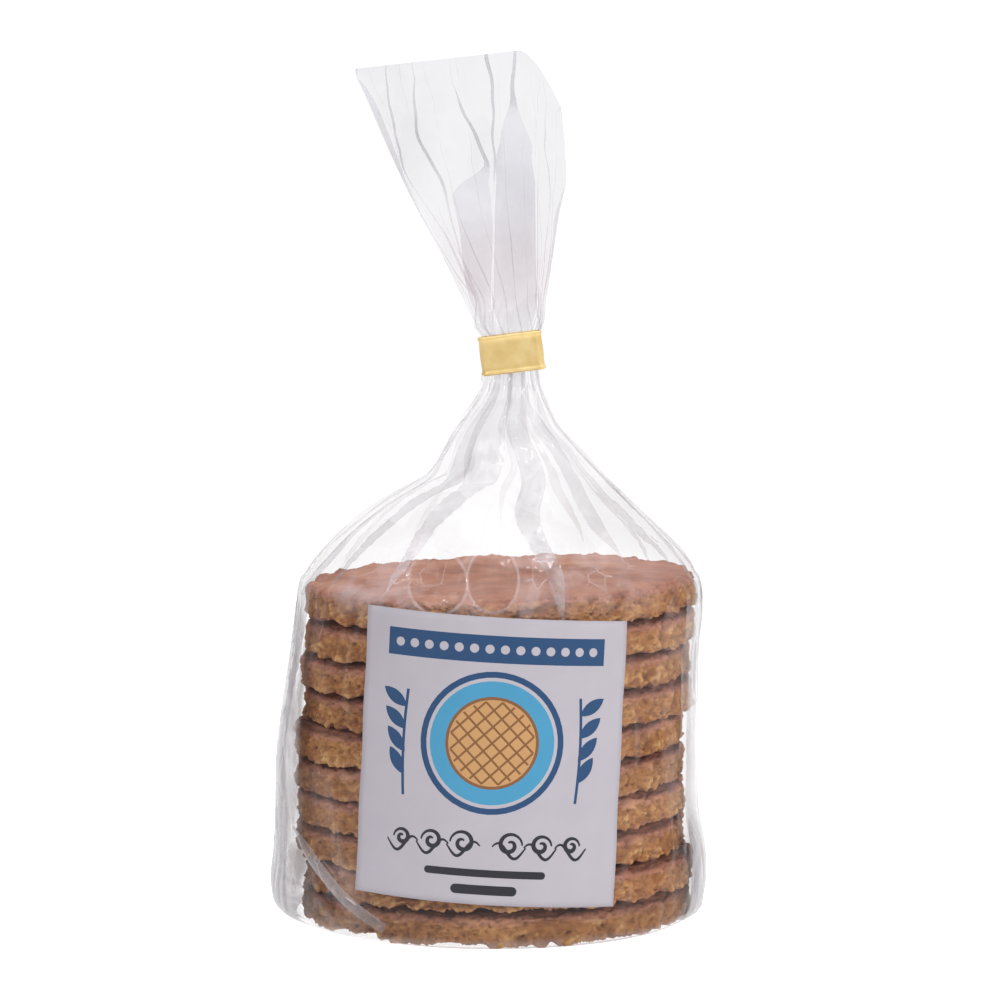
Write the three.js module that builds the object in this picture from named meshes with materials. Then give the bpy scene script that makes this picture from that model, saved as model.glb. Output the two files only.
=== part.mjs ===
// A clear film bag that holds a stack of ten syrup waffles. The film is gathered above the stack
// in a flat gold tie, flares out over it, and carries a square paper label on its front.
// Millimetres, +Z up, the label faces -Y. The origin is at the middle of the box that the pack
// fills, on the surface that it stands on.
import * as THREE from "three";

// ---- driving dimensions ----
const NECK_X = 2.4; // the gathered neck stands this far right of the stack's axis
const TIE_Z = 116.3; // middle of the tie
const TIE_HEIGHT = 8;
const TIE_TILT = THREE.MathUtils.degToRad(7); // its right end is the higher one
const TIE_WIDTH = 14; // outside, left to right
const TIE_DEPTH = 7.8; // outside, front to back
const TIE_CORNER = 1.6;
const STRIP_THICKNESS = 0.45;
const WIRE_BEAD = 0.3; // how far the strip's two wired edges stand proud of it
const WIRE_WIDTH = 0.9;
const BEAD_SHOULDER = 0.7; // the bead's height at the strip's very edge, as a share of its full one
const LAP_START = 0.22; // the strip's ends lap on the back, up to this share of its width to the right
const LAP_LAYERS = 2;
const STRAIGHT_BACK = 0.99; // where the strip faces backwards by more than this, it is on the back
const CLEARANCE = 0.3; // gap between pieces that touch

const MOUTH_Z = 177.7; // highest point of the flared film
const MOUTH_PEAK_X = 4;
const MOUTH_LEFT_DROP = 0.11; // the film's cut edge falls by this share to the left of its peak
const MOUTH_RIGHT_DROP = 13.7; // and by this much, along a curve, to the right
const MOUTH_RIGHT_REACH = 9.4;
const MOUTH_RIGHT_POWER = 1.6;
const FUNNEL_SHARE = 0.84; // the hollow between the flared film's sides, as a share of its radius
const FUNNEL_RINGS = [173, 165, 156, 147, 139]; // heights of the hollow's rings of points
const FUNNEL_FLOOR = 131; // the hollow ends here, above the tie

const LABEL_WIDTH = 54.5; // measured round the bag
const LABEL_HEIGHT = 57;
const LABEL_X = -1.75;
const LABEL_Z = 37.8;
const LABEL_TURN = THREE.MathUtils.degToRad(-3.4); // clockwise, seen from the front
const LABEL_THICKNESS = 0.35;
const LABEL_STEPS = 16;

// Cross-sections of the film from the floor to the mouth: height, how far the film reaches to the
// left, right, front and back of the stack's axis, and how deep its pleats are as a share of the
// radius at that height.
const FILM_SECTIONS = [
  { z: 0, left: 42.5, right: 38.5, front: 38.5, back: 38.5, pleat: 0 },
  { z: 0.9, left: 45.4, right: 40.9, front: 40.4, back: 40.6, pleat: 0 },
  { z: 3, left: 47.2, right: 42.3, front: 41.6, back: 42, pleat: 0 },
  { z: 7, left: 47.9, right: 43.1, front: 42.1, back: 42.7, pleat: 0 },
  { z: 13, left: 47.3, right: 42.9, front: 41.9, back: 42.6, pleat: 0 },
  { z: 23, left: 47, right: 41.3, front: 41.7, back: 42.3, pleat: 0 },
  { z: 34, left: 46.7, right: 41.1, front: 41.6, back: 42.2, pleat: 0 },
  { z: 44, left: 45.3, right: 41.2, front: 41.5, back: 42.1, pleat: 0.004 },
  { z: 55, left: 43.6, right: 41.3, front: 41.5, back: 42, pleat: 0.01 },
  { z: 65, left: 42.2, right: 42.1, front: 41.6, back: 42, pleat: 0.03 },
  { z: 70.2, left: 41, right: 41.2, front: 41, back: 41.4, pleat: 0.05 },
  { z: 75.5, left: 37, right: 38.2, front: 37.6, back: 38, pleat: 0.09 },
  { z: 80.7, left: 31.8, right: 32.6, front: 32, back: 32.6, pleat: 0.15 },
  { z: 85.9, left: 25.2, right: 27, front: 26, back: 26.6, pleat: 0.22 },
  { z: 91, left: 17.4, right: 21.6, front: 19.6, back: 20.2, pleat: 0.29 },
  { z: 96.2, left: 12.8, right: 17.2, front: 14.4, back: 15, pleat: 0.35 },
  { z: 101.4, left: 9.6, right: 12.2, front: 10, back: 10.6, pleat: 0.4 },
  { z: 106.6, left: 5.6, right: 9.9, front: 6.6, back: 7, pleat: 0.43 },
  { z: 111, left: 3.2, right: 8, front: 2.7, back: 2.7, pleat: 0.44 },
  { z: 121.4, left: 3.2, right: 8, front: 2.7, back: 2.7, pleat: 0.44 },
  { z: 123.4, left: 5.6, right: 9.3, front: 4.2, back: 4.4, pleat: 0.44 },
  { z: 127, left: 7.4, right: 9.7, front: 6, back: 6.3, pleat: 0.43 },
  { z: 137.6, left: 12.6, right: 11.5, front: 8.6, back: 9, pleat: 0.4 },
  { z: 147.8, left: 18.4, right: 13.4, front: 11, back: 11.6, pleat: 0.36 },
  { z: 158, left: 24, right: 13.9, front: 12.8, back: 13.4, pleat: 0.32 },
  { z: 168.4, left: 28.5, right: 13.4, front: 13.6, back: 14, pleat: 0.3 },
  { z: MOUTH_Z, left: 30.6, right: 12.6, front: 13.8, back: 14.2, pleat: 0.3 },
];

const PLEATS = 22;
const PLEAT_SEED = 11;
const PLEAT_START = [56, 90]; // the heights between which the pleats run out into the smooth wall
const PLEAT_RUN = 14; // a pleat takes this much height to reach its full depth
const PLEAT_JITTER = 0.5; // how unevenly the pleats are spaced
const VALLEY_JITTER = 0.3; // and how far off the middle between two ridges a valley runs
const SHALLOWEST_PLEAT = 0.62; // the depth of the flattest one, as a share of the deepest
const START_BIAS = 1.4; // above 1, more pleats start low than high
const WANDER = 0.35; // a fold drifts sideways by up to this share of the pleats' spacing
const WANDER_RATE = 0.05; // radians for each millimetre of height
const WANDER_PHASE = 9;
const FULL_PLEAT = 0.3; // from this depth of pleat on, the ridges have their full inset
const RIDGE_INSET = 0.16; // the lowest ridges stand this share of the radius inside the highest
const MOUTH_OPENING = 0.6; // the flattest pleats lose this share of their depth by the mouth
const COLUMNS_PER_FOLD = 2;

const FILM_FINISH = { color: 0xe9e6ea, roughness: 0.15, metalness: 0 };
const PAPER_FINISH = { color: 0xf1edf2, roughness: 0.6, metalness: 0 };
const GOLD_FINISH = { color: 0xdcae4e, roughness: 0.3, metalness: 0.8 };
// Heights of the rings of points that the solid has between the floor and the mouth.
const RING_HEIGHTS = [
  0, 0.9, 3, 7, 13, 23, 34, 44, 52, 58, 63, 67, 70, 73, 76, 79, 82, 85, 88, 91, 94, 97, 100, 103.4,
  107, 109.2, 111, 116.3, 121.4, 123.4, 126, 129.5, 134, 139, 144, 149, 154, 159, 164, 169, 173.5, MOUTH_Z,
];

// ---- rules that the shapes share ----

// A repeatable source of numbers from 0 to 1.
function makeRandom(seed) {
  let state = seed >>> 0;
  return () => {
    state = (Math.imul(state, 1664525) + 1013904223) >>> 0;
    return state / 4294967296;
  };
}

function smoothstep(x) {
  const t = Math.min(Math.max(x, 0), 1);
  return t * t * (3 - 2 * t);
}

// The value of one column of FILM_SECTIONS at a height, on a smooth curve through its entries.
function sectionValue(key, z) {
  const last = FILM_SECTIONS.length - 1;
  let i = 0;
  while (i < last - 1 && FILM_SECTIONS[i + 1].z <= z) i += 1;
  const at = (j) => FILM_SECTIONS[Math.min(Math.max(j, 0), last)];
  const slope = (j) => (at(j + 1)[key] - at(j - 1)[key]) / (at(j + 1).z - at(j - 1).z);
  const span = at(i + 1).z - at(i).z;
  const t = Math.min(Math.max((z - at(i).z) / span, 0), 1);
  const t2 = t * t;
  const t3 = t2 * t;
  return (
    (2 * t3 - 3 * t2 + 1) * at(i)[key] +
    (t3 - 2 * t2 + t) * span * slope(i) +
    (3 * t2 - 2 * t3) * at(i + 1)[key] +
    (t3 - t2) * span * slope(i + 1)
  );
}

// The folds of the gathered film, in order round the bag: a ridge, then a valley, then a ridge.
function makeFolds() {
  const random = makeRandom(PLEAT_SEED);
  const folds = [];
  for (let k = 0; k < PLEATS; k += 1) {
    const ridgeAngle = ((k + PLEAT_JITTER * (random() - 0.5)) / PLEATS) * 2 * Math.PI;
    const inset = RIDGE_INSET * random();
    const valleyShare = 0.5 + VALLEY_JITTER * (random() - 0.5);
    const depth = SHALLOWEST_PLEAT + (1 - SHALLOWEST_PLEAT) * random();
    const start = PLEAT_START[0] + (PLEAT_START[1] - PLEAT_START[0]) * random() ** START_BIAS;
    const opening = MOUTH_OPENING * random();
    const wander = WANDER * (random() - 0.5);
    folds.push({ ridge: true, angle: ridgeAngle, inset, start, wander });
    folds.push({ ridge: false, share: valleyShare, depth, start, opening, wander });
  }
  folds.forEach((fold, i) => {
    if (fold.ridge) return;
    const before = folds[i - 1].angle;
    const next = folds[(i + 1) % folds.length].angle;
    const after = next > before ? next : next + 2 * Math.PI;
    fold.angle = before + (after - before) * fold.share;
  });
  return folds;
}

// How far out a fold's line stands at a height, as a share of the film's full reach there.
function foldReach(fold, z) {
  const pleat = sectionValue("pleat", z);
  const grown = smoothstep((z - fold.start) / PLEAT_RUN);
  if (fold.ridge) return 1 - fold.inset * grown * smoothstep(pleat / FULL_PLEAT);
  const flared = smoothstep((z - TIE_Z) / (MOUTH_Z - TIE_Z));
  return 1 - pleat * fold.depth * grown * (1 - fold.opening * flared);
}

// A fold's direction at a height: it drifts a little sideways as it rises from the wall.
function foldAngle(fold, z) {
  const spacing = (2 * Math.PI) / PLEATS;
  const phase = fold.wander * WANDER_PHASE;
  return fold.angle + fold.wander * spacing * Math.sin(z * WANDER_RATE + phase);
}

// The film's reach from its own middle, without pleats, in one direction at a height.
function plainReach(angle, z) {
  const middle = (sectionValue("right", z) - sectionValue("left", z)) / 2;
  const across = (sectionValue("right", z) + sectionValue("left", z)) / 2;
  const along = sectionValue(Math.sin(angle) < 0 ? "front" : "back", z);
  return { middle, x: across * Math.cos(angle), y: along * Math.sin(angle) };
}

// The height of the film's cut edge above a place left or right of the stack's axis.
function mouthHeight(x) {
  if (x < MOUTH_PEAK_X) return MOUTH_Z - MOUTH_LEFT_DROP * (MOUTH_PEAK_X - x);
  const share = (x - MOUTH_PEAK_X) / MOUTH_RIGHT_REACH;
  return MOUTH_Z - MOUTH_RIGHT_DROP * share ** MOUTH_RIGHT_POWER;
}

// ---- geometry helpers ----

function geometryOf(points, triangles) {
  const geometry = new THREE.BufferGeometry();
  geometry.setAttribute("position", new THREE.Float32BufferAttribute(points.flat(), 3));
  geometry.setIndex(triangles.flat());
  geometry.computeVertexNormals();
  return geometry;
}

// Joins rings of points that all have the same count, from the first ring to the last. The ends
// are closed to a point each. Rings run anticlockwise seen from above, from the floor upwards.
function skinRings(rings, first, last) {
  const count = rings[0].length;
  const points = [first, ...rings.flat(), last];
  const triangles = [];
  const index = (ring, i) => 1 + ring * count + (i % count);
  for (let i = 0; i < count; i += 1) {
    triangles.push([0, index(0, i + 1), index(0, i)]);
    for (let r = 0; r < rings.length - 1; r += 1) {
      triangles.push([index(r, i), index(r, i + 1), index(r + 1, i + 1)]);
      triangles.push([index(r, i), index(r + 1, i + 1), index(r + 1, i)]);
    }
    triangles.push([index(rings.length - 1, i), index(rings.length - 1, i + 1), points.length - 1]);
  }
  return geometryOf(points, triangles);
}

function mesh(name, geometry, finish) {
  const made = new THREE.Mesh(geometry, new THREE.MeshStandardMaterial(finish));
  made.name = name;
  return made;
}

// ---- the bag ----

function filmRing(folds, z) {
  const ring = [];
  folds.forEach((fold, i) => {
    const next = folds[(i + 1) % folds.length];
    const start = foldAngle(fold, z);
    let end = foldAngle(next, z);
    if (end < start) end += 2 * Math.PI;
    for (let c = 0; c < COLUMNS_PER_FOLD; c += 1) {
      const share = c / COLUMNS_PER_FOLD;
      const angle = start + (end - start) * share;
      const reach = foldReach(fold, z) * (1 - share) + foldReach(next, z) * share;
      const plain = plainReach(angle, z);
      const x = plain.middle + plain.x * reach;
      const y = plain.y * reach;
      const flared = Math.max((z - TIE_Z) / (MOUTH_Z - TIE_Z), 0);
      ring.push([x, y, z + (mouthHeight(x) - MOUTH_Z) * flared ** 2]);
    }
  });
  return ring;
}

// The inside of the flared film: its outside at the same height, drawn in towards its middle.
function funnelRing(folds, height) {
  const { middle } = plainReach(0, height);
  return filmRing(folds, height).map(([x, y, z]) => [
    middle + (x - middle) * FUNNEL_SHARE,
    y * FUNNEL_SHARE,
    z,
  ]);
}

function bag() {
  const folds = makeFolds();
  const outside = RING_HEIGHTS.map((z) => filmRing(folds, z));
  const inside = [MOUTH_Z, ...FUNNEL_RINGS].map((z) => funnelRing(folds, z));
  const floor = [0, 0, 0];
  const funnelFloor = [plainReach(0, FUNNEL_FLOOR).middle, 0, FUNNEL_FLOOR];
  const skin = skinRings([...outside, ...inside], floor, funnelFloor);
  return mesh("bag", skin, FILM_FINISH);
}

// ---- the label, which lies on the smooth front of the bag ----

function wallFront(x, z) {
  const plain = plainReach(-Math.PI / 2, z);
  const across = (sectionValue("right", z) + sectionValue("left", z)) / 2;
  return sectionValue("front", z) * Math.sqrt(1 - ((x - plain.middle) / across) ** 2);
}

function labelPoint(column, row, lift) {
  const u = (column / LABEL_STEPS - 0.5) * LABEL_WIDTH;
  const v = (row / LABEL_STEPS - 0.5) * LABEL_HEIGHT;
  const round = u * Math.cos(LABEL_TURN) - v * Math.sin(LABEL_TURN);
  const z = LABEL_Z + u * Math.sin(LABEL_TURN) + v * Math.cos(LABEL_TURN);
  const radius = sectionValue("front", z);
  const x = LABEL_X + radius * Math.sin(round / radius);
  const front = wallFront(x, z);
  const outward = new THREE.Vector2(x / radius, -front / radius).normalize();
  return [x + outward.x * lift, -front + outward.y * lift, z];
}

function label() {
  const count = LABEL_STEPS + 1;
  const points = [];
  for (const lift of [CLEARANCE, CLEARANCE + LABEL_THICKNESS])
    for (let row = 0; row < count; row += 1)
      for (let column = 0; column < count; column += 1)
        points.push(labelPoint(column, row, lift));
  const at = (layer, row, column) => layer * count * count + row * count + column;
  const triangles = [];
  const quad = (a, b, c, d) => triangles.push([a, b, c], [a, c, d]);
  for (let row = 0; row < LABEL_STEPS; row += 1)
    for (let column = 0; column < LABEL_STEPS; column += 1) {
      const corners = [
        [row, column],
        [row, column + 1],
        [row + 1, column + 1],
        [row + 1, column],
      ];
      const [a, b, c, d] = corners;
      quad(at(1, ...a), at(1, ...b), at(1, ...c), at(1, ...d));
      quad(at(0, ...d), at(0, ...c), at(0, ...b), at(0, ...a));
    }
  for (let i = 0; i < LABEL_STEPS; i += 1) {
    const n = LABEL_STEPS;
    quad(at(0, 0, i), at(0, 0, i + 1), at(1, 0, i + 1), at(1, 0, i));
    quad(at(0, n, i + 1), at(0, n, i), at(1, n, i), at(1, n, i + 1));
    quad(at(0, i, n), at(0, i + 1, n), at(1, i + 1, n), at(1, i, n));
    quad(at(0, i + 1, 0), at(0, i, 0), at(1, i, 0), at(1, i + 1, 0));
  }
  return mesh("label", geometryOf(points, triangles), PAPER_FINISH);
}

// ---- the tie: a flat strip with a wire along each edge, folded flat round the neck ----

// Points round a rectangle with round corners, anticlockwise from the middle of its back, each
// with its outward direction.
function roundedLoop(width, depth, corner) {
  const loop = [];
  const cornerSteps = 5;
  const straightSteps = 4;
  const halfX = width / 2 - corner;
  const halfY = depth / 2 - corner;
  const corners = [
    [-halfX, halfY, 0.5],
    [-halfX, -halfY, 1],
    [halfX, -halfY, 1.5],
    [halfX, halfY, 2],
  ];
  corners.forEach(([x, y, turn], i) => {
    for (let s = 0; s <= cornerSteps; s += 1) {
      const a = Math.PI * (turn + (0.5 * s) / cornerSteps);
      const out = [Math.cos(a), Math.sin(a)];
      loop.push({ x: x + corner * out[0], y: y + corner * out[1], out });
    }
    const [nextX, nextY] = corners[(i + 1) % corners.length];
    const from = loop[loop.length - 1];
    for (let s = 1; s < straightSteps; s += 1) {
      const share = s / straightSteps;
      loop.push({
        x: from.x + (nextX - x) * share,
        y: from.y + (nextY - y) * share,
        out: from.out,
      });
    }
  });
  return loop;
}

// The strip's section, from its lower inner edge round to its upper inner edge: height above its
// middle, and how far out it stands.
function stripSection(layers) {
  const half = TIE_HEIGHT / 2;
  const skin = STRIP_THICKNESS * layers;
  const bead = skin + WIRE_BEAD;
  return [
    [-half, 0],
    [-half, bead * BEAD_SHOULDER],
    [-half + WIRE_WIDTH * 0.5, bead],
    [-half + WIRE_WIDTH, skin],
    [half - WIRE_WIDTH, skin],
    [half - WIRE_WIDTH * 0.5, bead],
    [half, bead * BEAD_SHOULDER],
    [half, 0],
  ];
}

function tie() {
  const wall = STRIP_THICKNESS + WIRE_BEAD;
  const loop = roundedLoop(TIE_WIDTH - 2 * wall, TIE_DEPTH - 2 * wall, TIE_CORNER - wall / 2);
  const sections = loop.map(({ x, y, out }) => {
    const onTheBack = y > 0 && out[1] > STRAIGHT_BACK;
    const overlapped = onTheBack && x < TIE_WIDTH * LAP_START;
    return stripSection(overlapped ? LAP_LAYERS : 1).map(([up, lift]) => [
      x + out[0] * lift,
      y + out[1] * lift,
      up,
    ]);
  });
  const size = sections[0].length;
  const triangles = [];
  const index = (i, j) => (i % sections.length) * size + (j % size);
  for (let i = 0; i < sections.length; i += 1)
    for (let j = 0; j < size; j += 1) {
      triangles.push([index(i, j), index(i + 1, j), index(i + 1, j + 1)]);
      triangles.push([index(i, j), index(i + 1, j + 1), index(i, j + 1)]);
    }
  const made = mesh("tie", geometryOf(sections.flat(), triangles), GOLD_FINISH);
  made.rotation.y = -TIE_TILT;
  made.position.set(NECK_X, 0, TIE_Z);
  return made;
}

// ---- the whole pack, stood with the middle of its box over the origin ----

const pack = new THREE.Group();
pack.add(bag(), label(), tie());
pack.updateMatrixWorld(true);
const extent = new THREE.Box3().setFromObject(pack, true);
const centre = extent.getCenter(new THREE.Vector3());
pack.position.set(-centre.x, -centre.y, -extent.min.z);

export default pack;
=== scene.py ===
"""A clear film bag that holds a stack of ten syrup waffles, with a gold tie and a paper label.

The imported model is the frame: metres, +Z up, the label faces -Y. The bag's solid is replaced by
thin film and by the waffles in it.
"""
import math

import bpy
import numpy as np
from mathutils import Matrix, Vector
from mathutils.geometry import delaunay_2d_cdt


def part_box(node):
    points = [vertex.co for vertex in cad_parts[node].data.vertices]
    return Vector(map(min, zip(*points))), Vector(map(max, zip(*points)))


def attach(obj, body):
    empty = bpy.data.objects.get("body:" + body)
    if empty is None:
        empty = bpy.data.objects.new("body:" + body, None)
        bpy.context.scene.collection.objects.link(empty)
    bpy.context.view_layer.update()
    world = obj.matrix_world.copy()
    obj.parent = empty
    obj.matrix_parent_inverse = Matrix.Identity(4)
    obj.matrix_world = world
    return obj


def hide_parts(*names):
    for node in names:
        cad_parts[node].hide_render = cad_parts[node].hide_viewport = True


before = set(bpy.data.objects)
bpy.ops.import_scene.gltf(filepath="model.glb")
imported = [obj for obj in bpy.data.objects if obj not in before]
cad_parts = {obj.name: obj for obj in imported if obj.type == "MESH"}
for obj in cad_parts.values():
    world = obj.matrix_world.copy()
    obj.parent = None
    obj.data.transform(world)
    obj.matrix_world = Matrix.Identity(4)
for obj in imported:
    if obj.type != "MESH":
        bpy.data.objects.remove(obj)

bl_info = {
    "name": "Bagged Syrup Waffles",
    "version": (1, 0, 0),
    "blender": (4, 5, 0),
    "location": "3D View > Sidebar > Pack",
    "description": "Builds a clear film bag of syrup waffles with its tie and label",
    "category": "Add Mesh",
}

MM = 0.001
TAU = 2 * math.pi

# ---- places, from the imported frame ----
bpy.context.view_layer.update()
BAG_LOW, BAG_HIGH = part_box("bag")
# The film stands 47.9 mm left and 43.1 mm right of the stack's axis.
AXIS_X = (BAG_LOW[0] + BAG_HIGH[0]) / 2 + (47.88 - 43.1) / 2 * MM

# ---- sizes of the pack, in millimetres, as the solids have them ----
WAFFLE_RADIUS = 40.0
WAFFLE_PITCH = 7.0
WAFFLE_COUNT = 10
NECK_X = 2.4
TIE_Z = 116.3
TIE_HEIGHT = 8.0
TIE_TILT = math.radians(7)
TIE_WIDTH = 14.0
TIE_DEPTH = 7.8
MOUTH_Z = 177.7
MOUTH_PEAK_X = 4.0
MOUTH_LEFT_DROP = 0.11
MOUTH_RIGHT_DROP = 13.7
MOUTH_RIGHT_REACH = 9.4
MOUTH_RIGHT_POWER = 1.6
MOUTH_SLOPE = 0.038
LABEL_WIDTH = 54.5
LABEL_HEIGHT = 57.0
LABEL_X = -1.75
LABEL_Z = 37.8
LABEL_TURN = math.radians(-3.4)

# Cross-sections of the film: height, and reach to the left, right, front and back of the stack's
# axis.
FILM_SECTIONS = np.array([
    (0, 42.5, 38.5, 38.5, 38.5),
    (0.9, 45.4, 40.9, 40.4, 40.6),
    (3, 47.2, 42.3, 41.6, 42),
    (7, 47.9, 43.1, 42.1, 42.7),
    (13, 47.3, 42.9, 41.9, 42.6),
    (23, 47, 41.3, 41.7, 42.3),
    (34, 46.7, 41.1, 41.6, 42.2),
    (44, 45.3, 41.2, 41.5, 42.1),
    (55, 43.6, 41.3, 41.5, 42),
    (65, 42.2, 42.1, 41.6, 42),
    (70.2, 41, 41.2, 41, 41.4),
    (75.5, 37, 38.2, 37.6, 38),
    (80.7, 31.8, 32.6, 32, 32.6),
    (85.9, 25.2, 27, 26, 26.6),
    (88.6, 20.2, 24.3, 22.8, 23.4),
    (90.5, 16, 22.2, 20.2, 20.8),
    (92.5, 14.3, 20.4, 18, 18.6),
    (96.2, 12.8, 17.2, 14.4, 15),
    (101.4, 9.6, 12.2, 10, 10.6),
    (106.6, 5.6, 9.9, 6.6, 7),
    (111, 3.2, 8, 2.7, 2.7),
    (119.4, 3.2, 8, 2.7, 2.7),
    (121.4, 4.6, 8.6, 3.3, 3.4),
    (123.4, 5.6, 9.3, 4.2, 4.4),
    (127, 7.4, 9.7, 6, 6.3),
    (137.6, 12.6, 11.5, 8.6, 9),
    (147.8, 18.4, 13.4, 11, 11.6),
    (158, 24, 13.9, 12.8, 13.4),
    (168.4, 28.5, 13.4, 13.6, 14),
    (MOUTH_Z, 30.6, 12.6, 13.8, 14.2),
])
SECTION_Z, SECTION_LEFT, SECTION_RIGHT, SECTION_FRONT, SECTION_BACK = range(5)


# ---- node maths, written as formulas ----

class Field:
    """A number that a node tree works out."""

    def __init__(self, tree, socket):
        self.tree = tree
        self.socket = socket

    def math(self, operation, *others):
        node = self.tree.nodes.new("ShaderNodeMath")
        node.operation = operation
        for i, value in enumerate((self, *others)):
            connect(self.tree, node.inputs[i], value)
        return Field(self.tree, node.outputs[0])

    def __add__(self, other):
        return self.math("ADD", other)

    def __sub__(self, other):
        return self.math("SUBTRACT", other)

    def __rsub__(self, other):
        return (self * -1.0) + other

    def __mul__(self, other):
        return self.math("MULTIPLY", other)

    def __truediv__(self, other):
        return self.math("DIVIDE", other)

    __radd__ = __add__
    __rmul__ = __mul__

    def maximum(self, other):
        return self.math("MAXIMUM", other)

    def absolute(self):
        return self.math("ABSOLUTE")

    def smooth(self, low, high):
        """0 below low, 1 above high, and a smooth rise between."""
        node = self.tree.nodes.new("ShaderNodeMapRange")
        node.interpolation_type = "SMOOTHSTEP"
        connect(self.tree, node.inputs["Value"], self)
        node.inputs["From Min"].default_value = low
        node.inputs["From Max"].default_value = high
        return Field(self.tree, node.outputs[0])

    def ramp(self, *stops):
        """A colour for each value, from (place, colour) stops."""
        node = self.tree.nodes.new("ShaderNodeValToRGB")
        connect(self.tree, node.inputs[0], self)
        elements = node.color_ramp.elements
        while len(elements) < len(stops):
            elements.new(0.5)
        for element, (place, color) in zip(elements, stops):
            element.position = place
            element.color = (*color, 1)
        return Field(self.tree, node.outputs[0])


def connect(tree, socket, value):
    """Links a field to a socket, or sets a plain value on it."""
    if isinstance(value, Field):
        tree.links.new(value.socket, socket)
    else:
        socket.default_value = value


def node_of(tree, kind, inputs=None, **settings):
    """A new node with its settings, and its inputs by name or index."""
    node = tree.nodes.new(kind)
    for name, value in settings.items():
        setattr(node, name, value)
    for key, value in (inputs or {}).items():
        connect(tree, node.inputs[key], value)
    return node


def output_of(tree, kind, inputs=None, output=0, **settings):
    return Field(tree, node_of(tree, kind, inputs, **settings).outputs[output])


def axes_of(tree, vector):
    """The three numbers of a vector."""
    parts = node_of(tree, "ShaderNodeSeparateXYZ", {0: vector})
    return [Field(tree, socket) for socket in parts.outputs]


def vector_math(tree, operation, **inputs):
    """A vector from a first one and, by the operation, a second one or a scale."""
    keys = {"first": 0, "second": 1, "scale": "Scale"}
    values = {keys[name]: value for name, value in inputs.items()}
    return output_of(tree, "ShaderNodeVectorMath", values, operation=operation)


def noise(tree, place, scale, detail=2.0, roughness=0.5, seed=None):
    """Cloudy noise from 0 to 1 over a place."""
    inputs = {"Vector": place, "Scale": scale, "Detail": detail, "Roughness": roughness}
    if seed is None:
        return output_of(tree, "ShaderNodeTexNoise", inputs)
    return output_of(tree, "ShaderNodeTexNoise", {**inputs, "W": seed}, noise_dimensions="4D")


def cells(tree, place, scale, seed):
    """Distance to the nearest of the points scattered over a place."""
    inputs = {"Vector": place, "W": seed, "Scale": scale}
    return output_of(tree, "ShaderNodeTexVoronoi", inputs, voronoi_dimensions="4D")


def mixed(tree, factor, first, second, blend="MIX"):
    """Two colours, mixed."""
    node = tree.nodes.new("ShaderNodeMix")
    node.data_type = "RGBA"
    node.blend_type = blend
    connect(tree, node.inputs[0], factor)
    for socket, value in ((node.inputs[6], first), (node.inputs[7], second)):
        connect(tree, socket, value if isinstance(value, Field) else (*value, 1))
    return Field(tree, node.outputs[2])


# ---- meshes ----

def mesh_object(name, points, faces, materials=()):
    """A smooth mesh object at the origin, from points in metres."""
    mesh = bpy.data.meshes.new(name)
    mesh.from_pydata([tuple(p) for p in points], [], [tuple(f) for f in faces])
    for material in materials:
        mesh.materials.append(material)
    mesh.validate()
    mesh.shade_smooth()
    made = bpy.data.objects.new(name, mesh)
    bpy.context.scene.collection.objects.link(made)
    return made


def grid_faces(rows, columns, closed):
    """Quads between rows of points. With closed, each row joins up with its own start."""
    row, column = np.meshgrid(
        np.arange(rows - 1), np.arange(columns if closed else columns - 1), indexing="ij"
    )
    after = (column + 1) % columns
    corners = (
        row * columns + column,
        row * columns + after,
        (row + 1) * columns + after,
        (row + 1) * columns + column,
    )
    return np.stack([c.ravel() for c in corners], axis=1)


def tube_faces(rows, columns, inside_out=False):
    """The faces of a tube with a cap at each end. One whose rows run down is inside out."""
    faces = [tuple(f) for f in grid_faces(rows, columns, True)]
    faces.append(tuple(range(columns))[::-1])
    faces.append(tuple(range((rows - 1) * columns, rows * columns)))
    return [f[::-1] for f in faces] if inside_out else faces


def placed(points):
    """Points in millimetres from the stack's axis, as metres in the frame."""
    return np.asarray(points) * MM + np.array((AXIS_X, 0, 0))


def apply_tree(made, tree, inputs):
    """Gives the object the shape that a geometry node tree makes of it."""
    modifier = made.modifiers.new("shape", "NODES")
    modifier.node_group = tree
    for item in tree.interface.items_tree:
        if item.in_out == "INPUT" and item.name in inputs:
            modifier[item.identifier] = inputs[item.name]
    view = bpy.context.evaluated_depsgraph_get()
    mesh = bpy.data.meshes.new_from_object(made.evaluated_get(view))
    old = made.data
    made.modifiers.remove(modifier)
    made.data = mesh
    bpy.data.meshes.remove(old)
    mesh.name = made.name


def geometry_tree(name, inputs):
    """A geometry node tree with a geometry in and out, and named numbers in."""
    tree = bpy.data.node_groups.new(name, "GeometryNodeTree")
    tree.interface.new_socket("Geometry", in_out="INPUT", socket_type="NodeSocketGeometry")
    tree.interface.new_socket("Geometry", in_out="OUTPUT", socket_type="NodeSocketGeometry")
    for label, default in inputs.items():
        kind = "NodeSocketMaterial" if default is None else "NodeSocketFloat"
        socket = tree.interface.new_socket(label, in_out="INPUT", socket_type=kind)
        if default is not None:
            socket.default_value = default
    source = tree.nodes.new("NodeGroupInput")
    return tree, {s.name: Field(tree, s) for s in source.outputs if s.name}


# ---- materials ----

def material(name):
    """A new material, its empty node tree, and the place that it colours, in metres."""
    made = bpy.data.materials.new(name)
    made.use_nodes = True
    tree = made.node_tree
    tree.nodes.clear()
    place = output_of(tree, "ShaderNodeTexCoord", output=3)
    return made, tree, place


def finish_material(tree, shader):
    """Gives the tree its output."""
    out = tree.nodes.new("ShaderNodeOutputMaterial")
    tree.links.new(shader.socket, out.inputs[0])


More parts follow.
